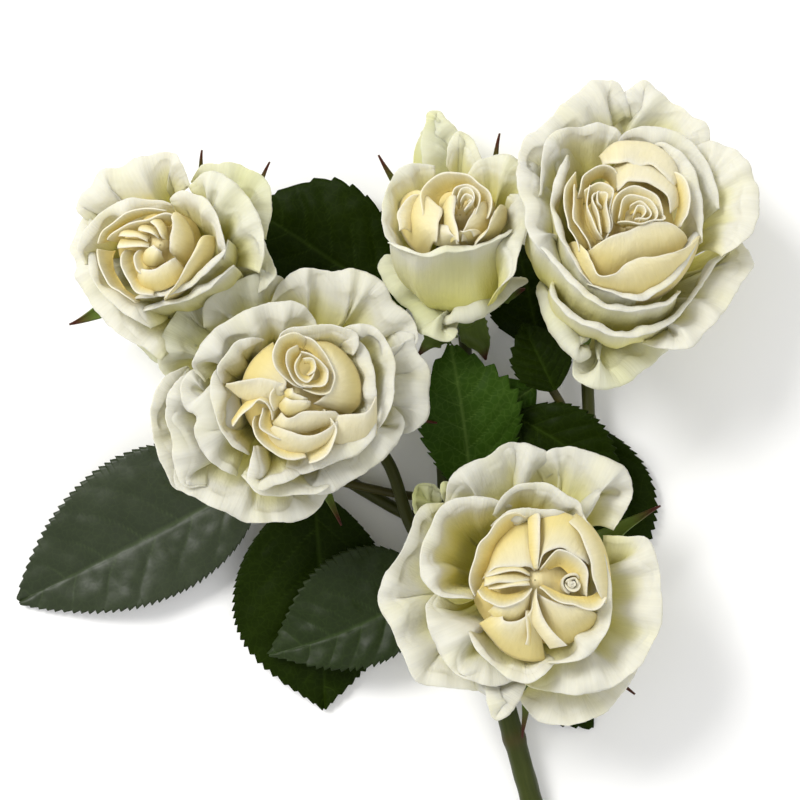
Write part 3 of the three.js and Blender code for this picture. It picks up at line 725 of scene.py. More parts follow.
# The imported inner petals: which face is seen, level of the rim, drop to the foot, and rim and foot as seen
# from above. A point's third number is its height over the row's level.
SHELLS = {
    "a": [
        ("in", 34, 5, [(97, 46), (104, 49), (113, 50), (129, 48), (147, 47), (165, 46), (182, 46),
         (195, 44)],
         [(100, 42), (112, 41), (125, 39), (140, 37), (155, 35), (170, 35), (184, 38)]),
        ("out", 34, 6, [(80, 8), (100, 10), (120, 12), (140, 14), (155, 20), (166, 29), (176, 36)],
         [(88, 46), (104, 44), (120, 41), (135, 39), (150, 36), (165, 35), (180, 38)]),
        ("out", 34.5, 2.5, [(186, 38), (185, 28), (186, 16), (200, 4)],
         [(172, 36), (168, 27), (160, 17), (150, 5)]),
        ("out", 34.8, 1.6, [(176, 34), (170, 24), (158, 14), (140, 5)],
         [(162, 33), (154, 24), (140, 15), (125, 6)]),
        ("in", 34.6, 2.5, [(190, 42), (203, 38), (216, 33), (228, 26), (238, 16), (245, 6)],
         [(187, 36), (195, 30), (205, 24), (215, 16), (225, 8)]),
        ("out", 34.5, 1.5, [(190, 33), (194, 24), (202, 14), (220, 5)], [(184, 34), (183, 25), (180, 16),
         (170, 6)]),
        ("out", 34, 3.5, [(212, 34), (222, 28), (236, 20), (250, 9)], [(214, 40), (228, 39), (244, 35),
         (258, 28)]),
        ("out", 33, 6, [(222, 30), (232, 35), (243, 32), (252, 27), (262, 20), (268, 10)],
         [(218, 50), (232, 52), (246, 56), (262, 58), (278, 58)]),
        ("out", 33.4, 1.2, [(254, 22), (257, 34), (260, 46)], [(264, 22), (265, 34), (266, 47)]),
        ("pale", 34.4, 2.0, [(283, 6), (282, 20), (284, 30), (290, 42), (296, 52)],
         [(262, 10), (264, 22), (266, 30), (274, 38), (283, 50)]),
        ("out", 33, 6.5, [(288, 10), (300, 13), (313, 20), (322, 30), (330, 44)],
         [(284, 46), (296, 51), (308, 52), (320, 53), (332, 55)]),
        ("in", 35, 2.5, [(-58, 6), (-44, 15), (-35, 29), (-28, 42), (-21, 51), (-14, 53)],
         [(-30, 6), (-28, 14), (-26, 24), (-20, 34), (-15, 42), (-10, 46)]),
        ("in", 34.4, 4, [(66, 8), (56, 20), (50, 27), (38, 31), (25, 34), (10, 36), (-5, 38), (-16, 39)],
         [(40, 6), (35, 14), (28, 20), (15, 23), (5, 25), (-5, 28), (-14, 30)]),
        ("out", 34, 3, [(76, 8), (66, 20), (52, 28), (38, 32), (26, 36), (16, 40)],
         [(84, 47), (74, 51), (60, 53), (46, 51), (34, 47), (22, 45)]),
        ("out", 34.3, 1.6, [(84, 8), (84, 20), (86, 34), (88, 51, -3.5)], [(104, 8), (101, 20), (98, 33),
         (96, 50, -3.5)]),
        ("out", 35, 7, [(60, 50), (50, 47), (38, 43), (25, 41), (10, 41), (-6, 44), (-18, 52)],
         [(58, 58), (45, 56), (30, 55), (14, 54), (0, 54), (-12, 55), (-20, 57)]),
    ],
    "b": [
        ("loop", 36.5, 3, [(80, 40), (95, 44), (107, 43), (118, 37), (127, 27), (130, 16), (115, 8),
         (50, 7)], (66, 20)),
        ("loop", 36, 3, [(40, 6), (0, 15), (4, 25), (22, 29), (40, 32), (58, 36), (72, 40),
         (90, 44)], (66, 20)),
        ("loop", 36.5, 2.5, [(88, 34), (100, 31), (109, 23), (106, 14), (60, 8), (26, 12)], (66, 20)),
        ("loop", 36.8, 2.5, [(70, 8), (26, 13), (18, 21), (32, 27), (50, 29), (68, 31),
         (84, 32)], (66, 20)),
        ("loop", 37, 2, [(86, 29), (94, 20), (78, 12), (55, 12), (48, 20), (58, 26)], (68, 20)),
        ("loop", 37.2, 1.5, [(60, 15), (56, 21), (66, 27), (78, 26)], (68, 19)),
        ("out", 35, 6, [(62, 36), (45, 32), (25, 29), (5, 25), (-8, 18), (-30, 12)],
         [(72, 42), (55, 44), (40, 45), (22, 46), (5, 46), (-10, 45), (-22, 40)]),
        ("out", 34, 5, [(126, 14), (140, 11), (155, 11), (168, 12)],
         [(114, 41), (130, 40), (145, 40), (158, 40), (170, 40)]),
        ("pale", 34.6, 3.5, [(170, 50), (165, 40), (158, 27), (148, 14), (140, 5)],
         [(173, 51), (185, 39), (193, 28), (204, 16), (220, 6)]),
        ("in", 34, 3, [(206, 52), (200, 42), (194, 33), (190, 27), (200, 23), (212, 23), (224, 27)],
         [(202, 50), (190, 38), (183, 30), (181, 21), (195, 15), (215, 15), (230, 20)]),
        ("in", 34, 3, [(206, 34), (216, 38), (226, 42), (238, 44), (252, 46), (266, 46), (280, 45)],
         [(210, 27), (222, 31), (234, 35), (248, 37), (262, 38), (276, 37)]),
        ("in", 34.4, 2.5, [(203, 27), (213, 32), (226, 36), (240, 37), (252, 35)],
         [(212, 20), (222, 26), (234, 29), (248, 28)]),
        ("pale", 34.6, 3.5, [(234, 28), (250, 27), (265, 27), (282, 29), (300, 32), (316, 34), (328, 36)],
         [(230, 37), (246, 41), (262, 42), (278, 42), (294, 41), (308, 42), (320, 42)]),
        ("pale", 35, 3, [(226, 18), (245, 19), (262, 17), (285, 14), (308, 16), (326, 22), (338, 30)],
         [(230, 28), (248, 30), (265, 29), (285, 28), (305, 29), (320, 33), (332, 38)]),
        ("in", 34.4, 5, [(332, 22), (324, 31), (317, 40), (306, 45), (294, 49), (280, 50)],
         [(314, 20), (307, 27), (300, 32), (292, 35), (282, 37)]),
        ("pale", 33.4, 4, [(358, 57), (347, 50), (338, 41), (328, 29)], [(334, 64), (324, 57), (312, 51),
         (303, 47)]),
        ("in", 35, 2, [(158, 18), (178, 20), (198, 21), (214, 20)], [(150, 8), (180, 7), (218, 9)]),
        ("out", 35.4, 2, [(190, 7), (235, 5), (290, 5), (325, 10)], [(212, 16), (242, 17), (280, 15),
         (308, 14)]),
        ("out", 35.6, 1.5, [(120, 4), (190, 3), (300, 3), (340, 8)], [(160, 10), (200, 8), (270, 8),
         (320, 10)]),
    ],
    "c": [
        ("loop", 37, 3, [(150, 13), (130, 18), (112, 23), (95, 26), (75, 27), (56, 28), (40, 28),
         (26, 27), (14, 26)], (50, 14)),
        ("loop", 37.4, 3, [(160, 8), (0, 9), (10, 18), (14, 26), (24, 27)], (50, 14)),
        ("loop", 37.6, 3, [(140, 10), (112, 18), (88, 21), (64, 22), (44, 23), (28, 22), (16, 19),
         (6, 12)], (50, 14)),
        ("loop", 38, 2.5, [(90, 16), (68, 18), (46, 18), (28, 17), (16, 13), (40, 7)], (50, 13)),
        ("loop", 38.2, 2, [(30, 8), (34, 14), (50, 16), (66, 15), (72, 10)], (50, 12)),
        ("loop", 36.4, 3.5, [(205, 20), (190, 24), (178, 27), (165, 31), (152, 36), (143, 40),
         (132, 42)], (155, 25)),
        ("loop", 36.6, 3.5, [(138, 42), (124, 38), (118, 30), (128, 22), (150, 16), (185, 13),
         (204, 17)], (155, 25)),
        ("loop", 37, 3, [(198, 20), (180, 21), (163, 24), (150, 30), (140, 35), (130, 34)], (155, 24)),
        ("loop", 37.2, 2.5, [(134, 35), (127, 28), (140, 22), (165, 16), (190, 15)], (152, 24)),
        ("loop", 37, 2, [(128, 30), (136, 33), (146, 29), (142, 24)], (138, 28)),
        ("in", 34.4, 6, [(98, 34), (105, 42), (113, 47), (122, 49), (132, 47), (140, 44), (150, 42)],
         [(112, 29), (116, 35), (122, 40), (130, 41), (138, 40), (146, 36)]),
        ("in", 34.6, 4, [(140, 50), (150, 47), (160, 44), (172, 41), (184, 37), (196, 34), (210, 32)],
         [(146, 40), (158, 36), (170, 33), (184, 30), (198, 27), (210, 24)]),
        ("in", 34, 3, [(134, 55), (145, 54), (157, 51), (168, 47), (180, 44), (192, 41), (204, 39)],
         [(140, 48), (152, 45), (164, 42), (178, 38), (192, 35), (206, 32)]),
        ("pale", 35.6, 4, [(108, 29), (95, 31), (80, 31), (65, 32), (50, 32), (36, 32), (22, 32)],
         [(104, 46), (88, 48), (72, 48), (56, 46), (40, 43), (24, 40)]),
        ("pale", 34.6, 4, [(112, 50, -2), (102, 45), (92, 45), (80, 43), (68, 45), (56, 43), (44, 44)],
         [(112, 56, 0), (100, 60), (88, 60), (74, 60), (60, 57), (44, 52)]),
        ("in", 35, 4, [(52, 52), (38, 51), (26, 47), (14, 42), (2, 38)], [(44, 40), (32, 39), (20, 36),
         (10, 33), (0, 31)]),
        ("out", 37, 8, [(206, 28), (216, 14), (290, 3), (2, 12), (6, 24), (4, 38)],
         [(216, 44), (236, 44), (256, 40), (275, 36), (292, 36), (308, 37), (324, 41), (344, 45)]),
        ("out", 35.5, 10, [(196, 34), (210, 34), (225, 37), (238, 42), (250, 36), (262, 29), (276, 26),
         (292, 26), (308, 29), (322, 34), (336, 40), (352, 47)],
         [(194, 46), (210, 50), (228, 52), (245, 54), (260, 56), (275, 57), (290, 56), (305, 54),
          (320, 52), (336, 51), (350, 52)]),
    ],
    "d": [
        ("in", 37, 5, [(172, 27), (155, 31), (140, 32), (122, 32), (105, 31), (88, 30), (70, 28),
         (52, 27), (35, 25), (20, 23), (6, 19)],
         [(160, 16), (148, 18), (135, 19), (120, 19), (105, 18), (90, 20), (72, 21), (55, 20), (40, 18),
          (25, 14)]),
        ("loop", 37.5, 3, [(128, 10), (112, 17), (95, 21), (78, 22), (60, 21), (44, 20), (30, 17),
         (12, 12)], (70, 11)),
        ("loop", 38, 2.5, [(104, 13), (88, 18), (70, 19), (52, 18), (38, 14), (50, 7)], (70, 12)),
        ("loop", 38.3, 2, [(50, 9), (46, 13), (60, 16), (78, 16), (90, 12)], (70, 12)),
        ("loop", 38.5, 1.5, [(66, 9), (58, 13), (72, 14)], (68, 12)),
        ("out", 36, 10, [(158, 20), (172, 13), (192, 12), (208, 17), (220, 22)],
         [(146, 40), (165, 43), (184, 44), (202, 43), (216, 41), (232, 37)]),
        ("out", 37.4, 3, [(100, 15), (108, 7), (200, 3), (262, 9), (266, 16)],
         [(138, 15), (168, 13), (206, 13), (234, 16), (250, 18)]),
        ("out", 36.4, 8, [(30, 13), (8, 8), (320, 5), (285, 9), (272, 14)],
         [(28, 24), (8, 25), (350, 26), (330, 26), (310, 25), (290, 24)]),
        ("pale", 36.4, 6, [(206, 10), (228, 12), (246, 15), (262, 17)], [(196, 24), (216, 28), (234, 27),
         (252, 24), (272, 23)]),
        ("out", 36.4, 7, [(262, 11), (280, 13), (298, 13), (314, 15)], [(254, 23), (278, 23), (300, 24),
         (322, 26)]),
        ("pale", 34, 3, [(192, 45), (182, 45), (172, 43), (162, 39), (153, 33)], [(196, 36), (184, 34),
         (170, 31), (156, 28)]),
        ("out", 35.4, 9, [(300, 19), (318, 22), (336, 23), (356, 23), (14, 24)], [(296, 26), (318, 29),
         (338, 32), (358, 34), (16, 34)]),
    ],
    "e": [
        ("out", 32.5, 6, [(74, 22), (58, 15), (30, 9), (0, 8), (330, 7)],
         [(66, 27), (48, 26), (30, 25), (10, 25), (350, 25), (335, 24), (320, 20)]),
        ("in", 32.4, 3.5, [(174, 40), (163, 34), (150, 28), (135, 24), (118, 22), (100, 22), (85, 22),
         (70, 23)],
         [(172, 30), (160, 23), (146, 18), (128, 15), (108, 14), (88, 14), (72, 16)]),
        ("in", 32, 3.5, [(178, 46), (166, 42), (152, 37), (138, 33), (120, 29), (102, 27), (84, 27)],
         [(172, 38), (160, 33), (146, 28), (130, 25), (110, 24), (90, 24)]),
        ("out", 32.4, 1.8, [(170, 31), (168, 20), (164, 9)], [(156, 29), (150, 19), (140, 10)]),
        ("out", 32.6, 1.8, [(183, 30), (184, 20), (186, 9)], [(171, 30), (168, 20), (162, 9)]),
        ("out", 32.4, 1.8, [(150, 20), (140, 14), (120, 7)], [(136, 21), (120, 16), (90, 9)]),
        ("out", 32.6, 2, [(112, 19), (100, 12), (70, 5)], [(92, 20), (72, 14), (30, 7)]),
        ("in", 32.6, 3.5, [(184, 26), (196, 29), (208, 32), (221, 33), (234, 35), (247, 37), (260, 35)],
         [(190, 15), (202, 18), (216, 21), (230, 25), (244, 28), (256, 28)]),
        ("in", 32.8, 2.5, [(192, 16), (206, 21), (222, 24), (238, 25)], [(196, 8), (214, 12), (232, 16),
         (246, 18)]),
        ("out", 32.8, 4, [(226, 21), (240, 19), (255, 16), (275, 12), (300, 11), (320, 11)],
         [(236, 31), (250, 34), (265, 33), (282, 31), (298, 29), (314, 27)]),
        ("out", 33, 2.5, [(190, 5), (235, 3), (285, 5)], [(203, 14), (230, 17), (257, 16), (285, 12)]),
        ("out", 31.5, 7, [(10, 26), (-6, 26), (-22, 26), (-38, 26), (-54, 29), (-70, 33), (-86, 35)],
         [(12, 38), (-6, 39), (-22, 37), (-38, 36), (-54, 37), (-70, 39), (-86, 41)]),
        ("in", 31, 5, [(182, 47), (194, 46), (206, 46), (219, 46), (232, 46), (244, 46)],
         [(184, 34), (196, 35), (208, 37), (221, 38), (234, 40), (246, 41)]),
    ],
}

# Rolled buds inside the hearts: middle (azimuth, distance), half width across and up, turn of the long side.
BUDS = {"a": [(-6, 27, 8, 7, -20)]}
BUD_RINGS = (1.0, 0.8, 0.62, 0.45, 0.3, 0.16)
BUD_SWEEP = 215  # degrees about its middle that each of a bud's petals goes
BUD_TURN = 137  # degrees from one to the next
BUD_SHAPE = dict(shrink=0.78, depth=5.5, roll=0.5, arrive=72, end=-10, ruffle=0.15)
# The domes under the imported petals: radius in hundredths of the bloom's, and level.
HEARTS = {"a": (46, 29), "b": (40, 29), "c": (36, 29), "d": (26, 30), "e": (30, 27)}


def bud_rims(azimuth, distance, wide, high, turn):
    """Crescents about the bud's middle, each overlapping the last, with one end drawn to a point."""
    middle = distance * np.array([math.cos(math.radians(azimuth)), math.sin(math.radians(azimuth))])
    tilt = math.radians(turn)
    half = BUD_SWEEP // 2
    for ring, share in enumerate(BUD_RINGS):
        start = 60 + BUD_TURN * ring
        rim = []
        for step in np.linspace(0, BUD_SWEEP, 9):
            angle = math.radians(start + step)
            swell = share * (1 - 0.16 * abs(step - half) / half)
            point = 1 + 0.22 * max(0.0, math.cos(angle - math.pi / 2)) ** 6
            x = wide * swell * math.cos(angle)
            y = high * swell * point * math.sin(angle)
            turned = (x * math.cos(tilt) - y * math.sin(tilt), x * math.sin(tilt) + y * math.cos(tilt))
            spot = middle + turned
            rim.append((math.degrees(math.atan2(spot[1], spot[0])), float(np.hypot(*spot))))
        yield middle, rim


def build_bloom(letter, order):
    """All the petals of one bloom. A named petal stands for the CAD node of its name, if there is one."""
    bloom = BLOOMS[letter]
    heart_node = f"heart_{letter}"
    seed = 100 * order
    for i, (name, style, level, rim, changes) in enumerate(PETALS[letter]):
        node = f"petal_{letter}_{name}"
        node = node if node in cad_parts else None
        petal(bloom, f"{letter}_{name}", rim, level, style, seed + i, node, **changes)
    heart_body(letter, *HEARTS[letter], seed)
    for i, row in enumerate(SHELLS[letter]):
        shell(bloom, f"shell_{letter}_{i + 1}", *row, seed=seed + 40 + i, node=heart_node)
    for i, row in enumerate(BUDS.get(letter, [])):
        for ring, (middle, rim) in enumerate(bud_rims(*row)):
            level = bloom.height + 0.3 * ring
            focus = (math.degrees(math.atan2(middle[1], middle[0])), float(np.hypot(*middle)))
            name = f"bud_{letter}_{i + 1}_{ring + 1}"
            own_seed = seed + 70 + ring
            petal(bloom, name, rim, level, "fold", own_seed, heart_node, HEART, focus=focus, **BUD_SHAPE)


for order, letter in enumerate(BLOOMS):
    build_bloom(letter, order)


# ---- Stem and stalks ----
def frames_along(curve):
    """Two directions across a curve at each of its points, without twist."""
    tangents = unit(np.gradient(curve, axis=0))
    side = unit(np.cross(tangents[0], [0.0, 0.0, 1.0]))
    sides = []
    for tangent in tangents:
        side = unit(side - tangent * side.dot(tangent))
        sides.append(side)
    sides = np.array(sides)
    return sides, np.cross(tangents, sides)


def tube(name, curve, radii, material, tip=0.0, sides=20):
    """A closed round rod along a curve."""
    across, up = frames_along(curve)
    angles = np.linspace(0, 2 * np.pi, sides, endpoint=False)
    ring = across[:, None] * np.cos(angles)[None, :, None] + up[:, None] * np.sin(angles)[None, :, None]
    radii = np.broadcast_to(radii, (len(curve),)) if np.ndim(radii) < 2 else radii
    radii = radii[:, None] if radii.ndim == 1 else radii
    grid = curve[:, None] + ring * radii[..., None]
    caps = [np.repeat(curve[end][None, None], sides, axis=1) for end in (0, -1)]
    grid = np.concatenate([caps[0], grid, caps[1]])
    steps = np.linalg.norm(np.diff(curve, axis=0), axis=1)
    along = np.concatenate([[0.0], np.cumsum(steps)])
    along = np.concatenate([along[:1], along, along[-1:]])[:, None]
    tip = np.broadcast_to(tip, (len(curve),))
    tip = np.concatenate([tip[:1], tip, tip[-1:]])[:, None]
    fields = {"across": (angles * float(np.mean(radii)))[None], "along": along, "tip": tip}
    return grid_object(name, grid, material, fields, closed=True)


STEM_PATH = [
    (64, -248, 4.4), (51, -170, 4.2), (34, -104, 5.2), (27, -79, 6.4), (18, -50, 7.6), (12.5, -28, 8.4),
    (11.5, -14, 9),
]
STEM_NODES = (0.16, 0.36, 0.56, 0.69)  # leaf scars, as shares of the way up from the cut end
SCAR_WIDTH, SCAR_HEIGHT = 0.008, 0.4
STEM_SIDES = 28
PRICKLES = [(0.1, 70, 4.2), (0.27, -75, 3.6), (0.47, 20, 3.2)]  # share of the way up, side and length
PRICKLE_RADIUS = 1.5


def stem():
    """The main stem with its leaf scars and prickles."""
    curve = spline(STEM_PATH, 240)
    share = np.linspace(0, 1, len(curve))
    scars = sum(np.exp(-(((share - at) / SCAR_WIDTH) ** 2)) for at in STEM_NODES)
    angles = np.linspace(0, 2 * np.pi, STEM_SIDES, endpoint=False)
    radii = STEM_CUT_RADIUS + (STEM_TOP_RADIUS - STEM_CUT_RADIUS) * share + SCAR_HEIGHT * scars
    rough = wander(share[:, None] * 260, angles[None] * 2.2, 5, 0.25) * 0.1
    browned = np.clip(scars, 0, 1) * 0.35
    piece = tube(
        "main_stem", curve, radii[:, None] + rough, STEM, tip=browned, sides=STEM_SIDES
    )
    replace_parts(piece, "stem")
    across, up = frames_along(curve)
    tangents = unit(np.gradient(curve, axis=0))
    for i, (at, around, length) in enumerate(PRICKLES):
        k = int(at * (len(curve) - 1))
        angle = math.radians(around)
        out = up[k] * math.cos(angle) + across[k] * math.sin(angle)
        root = curve[k] + out * (radii[k] - 0.6)
        halfway = root + out * length * 0.5 - tangents[k] * 0.3
        point = root + out * length - tangents[k] * 1.8
        t = np.linspace(0, 1, 14)
        path = spline([root, halfway, point], len(t))
        taper = PRICKLE_RADIUS * (1 - t) ** 1.6 + 0.03
        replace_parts(tube(f"prickle_{i + 1}", path, taper, STEM, tip=t, sides=14), "stem")


STALKS = {
    "a": [(29.4, -50, 5.2), (26, -55, 4.6), (20, -56, 7.2)],
    "b": [(-28, -4, 4), (-19, -16, 3.2), (-6, -25, 3.6), (6, -31, 6), (13, -33, 8)],
    "c": [(47.6, 8, 9), (47.8, -6, 9), (46.5, -22, 8.5), (42, -46, 6.5), (35, -62, 5), (23.5, -68, 6.8)],
    "d": [(16.6, 14, 6.4), (16.5, 2, 6.5), (13.5, -9, 8.2)],
    "e": [(-47, 24, 4.2), (-36, 14, 3.4), (-18, 0, 5), (-3.5, -15, 9.8), (4, -34, 10.5), (15, -46, 8)],
}
# Each sepal: azimuth and length in plan from the bloom's base to its tip, the tip's height above the base,
# its width, and how far its side lobes reach.
SEPALS = {
    "a": [(30.3, 39.5, 8, 5.5, 0.6), (-44.6, 38.6, 4, 3.4, 0), (-88, 38.8, -6, 4.6, 1.0),
        (105, 25, 3, 5, 0), (172, 25, 3, 5, 0)],
    "b": [(-67, 34.5, 4, 4.4, 0.8), (-9.4, 38, 5, 3.6, 0.8), (62, 24, 4, 5, 0), (134, 20, 3, 5, 0),
        (206, 26, 4, 5, 0)],
    "c": [(-35, 22, -6, 5, 0), (42, 24, 8, 5, 0), (100, 26, 14, 5, 0), (190, 16, 2, 5, 0),
        (-103, 20, -12, 5, 1.2)],
    "d": [(120.3, 41, 12, 4.2, 0), (76.8, 41.2, 14, 4.2, 0), (-66, 16, -6, 9, 0.6),
        (-128, 18, -4, 6, 1.8), (10, 16, -4, 6, 1.2)],
    "e": [(49, 34.1, 7, 3.6, 0), (205.4, 31.7, 4, 6.5, 0.5), (79.5, 29.6, 9, 2.6, 1.6),
        (135, 18, 6, 5, 0), (-60, 14, -6, 5, 0)],
}


def sepal(bloom, name, node, azimuth, length, rise, width, lobes, seed=0):
    """A calyx lobe that leaves the hip's shoulder and runs out to a fine reddish point."""
    rows, columns = 60, 15
    angle = math.radians(azimuth)
    out = np.array([math.cos(angle), math.sin(angle), 0.0])
    side = np.array([-out[1], out[0], 0.0])
    root = bloom.world(np.array([0.0, 0.0, -1.6])) + out * HIP_RADIUS * 0.6
    tip = bloom.base + out * length + np.array([0.0, 0.0, rise])
    middle = (root + tip) / 2 + np.array([0.0, 0.0, -2.0]) + side * wander(seed, 2.0, seed, 0.7)
    curve = spline([root, middle, tip], rows)
    t = np.linspace(0, 1, rows)
    half = width / 2 * (0.45 + 0.55 * np.sin(np.pi * np.clip(t * 0.95, 0, 1)) ** 0.8) * (1 - t**2.2) + 0.12
    for place in (0.35, 0.5, 0.66):
        half = half + lobes * (1.1 - place) * np.exp(-(((t - place) / 0.03) ** 2))
    u = np.linspace(-1, 1, columns)
    bend = 1.0 * wander(t * 10, 3.0, seed, 0.25) * t
    twist = 0.5 * wander(t * 10, 8.0, seed, 0.15)
    spread = side[None] * np.cos(twist)[:, None] + np.array([0, 0, 1.0])[None] * np.sin(twist)[:, None]
    grid = curve[:, None] + spread[:, None] * (u[None, :, None] * half[:, None, None])
    grid = grid + side * bend[:, None, None]
    grid[..., 2] += 0.4 * half[:, None] * u[None] ** 2
    grid[..., 2] = np.maximum(grid[..., 2], 0.8)
    fields = {
        "across": u[None] * half[:, None],
        "along": t[:, None] * length,
        "tip": np.clip((t - 0.78) / 0.16, 0, 1)[:, None],
    }
    piece = grid_object(name, grid, SEPAL, fields)
    thicken(piece, SEPAL_THICKNESS)
    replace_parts(piece, node)


def flower_stalk(letter, order):
    """A bloom's stalk, hip and sepals."""
    bloom = BLOOMS[letter]
    node = f"flower_stalk_{letter}"
    on_axis = [bloom.world(np.array([0.0, 0.0, h * HIP_LENGTH])) for h in (-0.9, -1.12)]
    curve = spline([*on_axis, *STALKS[letter]], 90)
    piece = tube(f"stalk_{letter}", curve, STALK_RADIUS, STEM, tip=0.12)
    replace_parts(piece, node)
    shares = np.linspace(0, 1, 22)
    heights = -HIP_LENGTH * (1 - shares)
    swell = STALK_RADIUS + (HIP_RADIUS - STALK_RADIUS) * np.sin(np.pi * np.clip(shares * 0.86, 0, 1)) ** 0.8
    swell[-3:] = (HIP_RADIUS * 0.8, HIP_RADIUS * 0.95, HIP_RADIUS)
    axis_points = bloom.world(np.stack([0 * heights, 0 * heights, heights], axis=1))
    piece = tube(f"hip_{letter}", axis_points, swell, SEPAL, sides=28)
    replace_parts(piece, node)
    for i, row in enumerate(SEPALS[letter]):
        sepal(bloom, f"sepal_{letter}_{i + 1}", node, *row, seed=order * 10 + i)


LEAF_STALKS = {
    "left": [(10.5, -25, 8), (0, -24, 6.4), (-12, -21.5, 6.6), (-22, -19.5, 7.2), (-33, -18, 7.8)],
    "right": [(47.5, -20, 7), (44.5, -9, 12), (40.5, -1, 14.5), (37, 5, 15.5), (35, 13, 14.5)],
}
LEAFLET_STALKS = {
    "right_back": [(47.8, -3, 8.6), (49.2, -4.5, 5.5), (48.8, -8, 3)],
    "under_bloom": [(25, -75.5, 6.4), (30, -70.5, 4.6), (37, -67.5, 3.4)],
}

stem()
for order, letter in enumerate(BLOOMS):
    flower_stalk(letter, order)
for name, points in LEAF_STALKS.items():
    piece = tube(f"{name}_leaf_stalk", spline(points, 60), LEAF_STALK_RADIUS, STEM, tip=0.3)
    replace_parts(piece, f"leaf_stalk_{name}")
for name, points in LEAFLET_STALKS.items():
    path = spline(points, 24)
    piece = tube(f"{name}_stalk", path, LEAFLET_STALK_RADIUS, STEM, tip=0.3, sides=14)
    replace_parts(piece, f"leaflet_{name}")


# ---- Leaves ----
# sides: half widths on the two sides of the midrib, the left one first as seen from the base
# arch and bow: how far the midrib bends up and sideways
# peak: above 1 the leaf is widest nearer its tip
# blunt and point: the smaller, the rounder its foot and its tip
# bite: how deep its teeth are
LEAFLETS = {
    "left_end": dict(
        base=(-36, -20, 7), tip=(-97.5, -51.5, 1.6), sides=(16, 21.5),
        arch=2, bow=0.5, peak=0.8, blunt=0.72, point=0.8, material=SHEEN_PAINTED_LEAF,
    ),
    "left_low": dict(
        base=(-22, -23.5, 6), tip=(-19.5, -79, 1.2), sides=(18, 22.5),
        arch=2, bow=1, peak=1.0, blunt=0.62,
    ),
    "left_front": dict(
        base=(8, -47, 9.8), tip=(-33.2, -64.5, 8.5), sides=(10.5, 18.5),
        arch=3, bow=2, peak=0.74, blunt=0.7, material=HALF_SHEEN_LEAF,
    ),
    "back_left": dict(
        base=(1.5, 23, 7), tip=(-38.7, 49.5, 5), sides=(16, 18.5),
        arch=2, bow=0, peak=1.2, blunt=0.5, teeth=10,
    ),
    "middle": dict(
        base=(18, -24, 15), tip=(12.6, 13.6, 20.5), sides=(11, 14.5),
        arch=2.5, bow=-0.5, peak=1.12, blunt=0.6, teeth=12, bite=1.5, material=YOUNG_LEAF,
    ),
    "right_front": dict(
        base=(29, -4, 16), tip=(56, -23, 13), sides=(10, 10),
        arch=2, bow=1, peak=0.8, blunt=0.7,
    ),
    "right_back": dict(
        base=(48.5, -7, 2.4), tip=(60, -45, 2), sides=(10.5, 12),
        arch=0.5, bow=0.5, peak=0.9, blunt=0.7,
    ),
    "side_end": dict(
        base=(35, 14.5, 12), tip=(30, 40, 4), sides=(11, 11),
        arch=1.5, bow=0, peak=0.9, blunt=0.6, teeth=9,
    ),
    "side_middle": dict(
        base=(38.5, 2.5, 18.4), tip=(30.5, 19, 20), sides=(7, 8),
        arch=1, bow=0, peak=0.9, blunt=0.7, teeth=9,
    ),
    "side_low": dict(
        base=(34, 3.5, 12.8), tip=(22, -5, 10), sides=(6, 6),
        arch=1, bow=0, peak=0.9, blunt=0.8, teeth=8, material=YOUNG_LEAF,
    ),
    "under_bloom": dict(
        base=(36, -66, 3), tip=(49, -84, 1.4), sides=(8, 8),
        arch=1, bow=0, peak=0.9, blunt=0.8, teeth=9,
    ),
}


TOOTH_LENGTH = 1.9
TOOTH_ZONE = 0.82  # share of the half width inside which the teeth leave the blade alone
TOOTH_LEAN = 0.8  # share of a tooth that is its long side
VEIN_PAIRS = 6.5
MIDRIB_WIDTH = 0.45


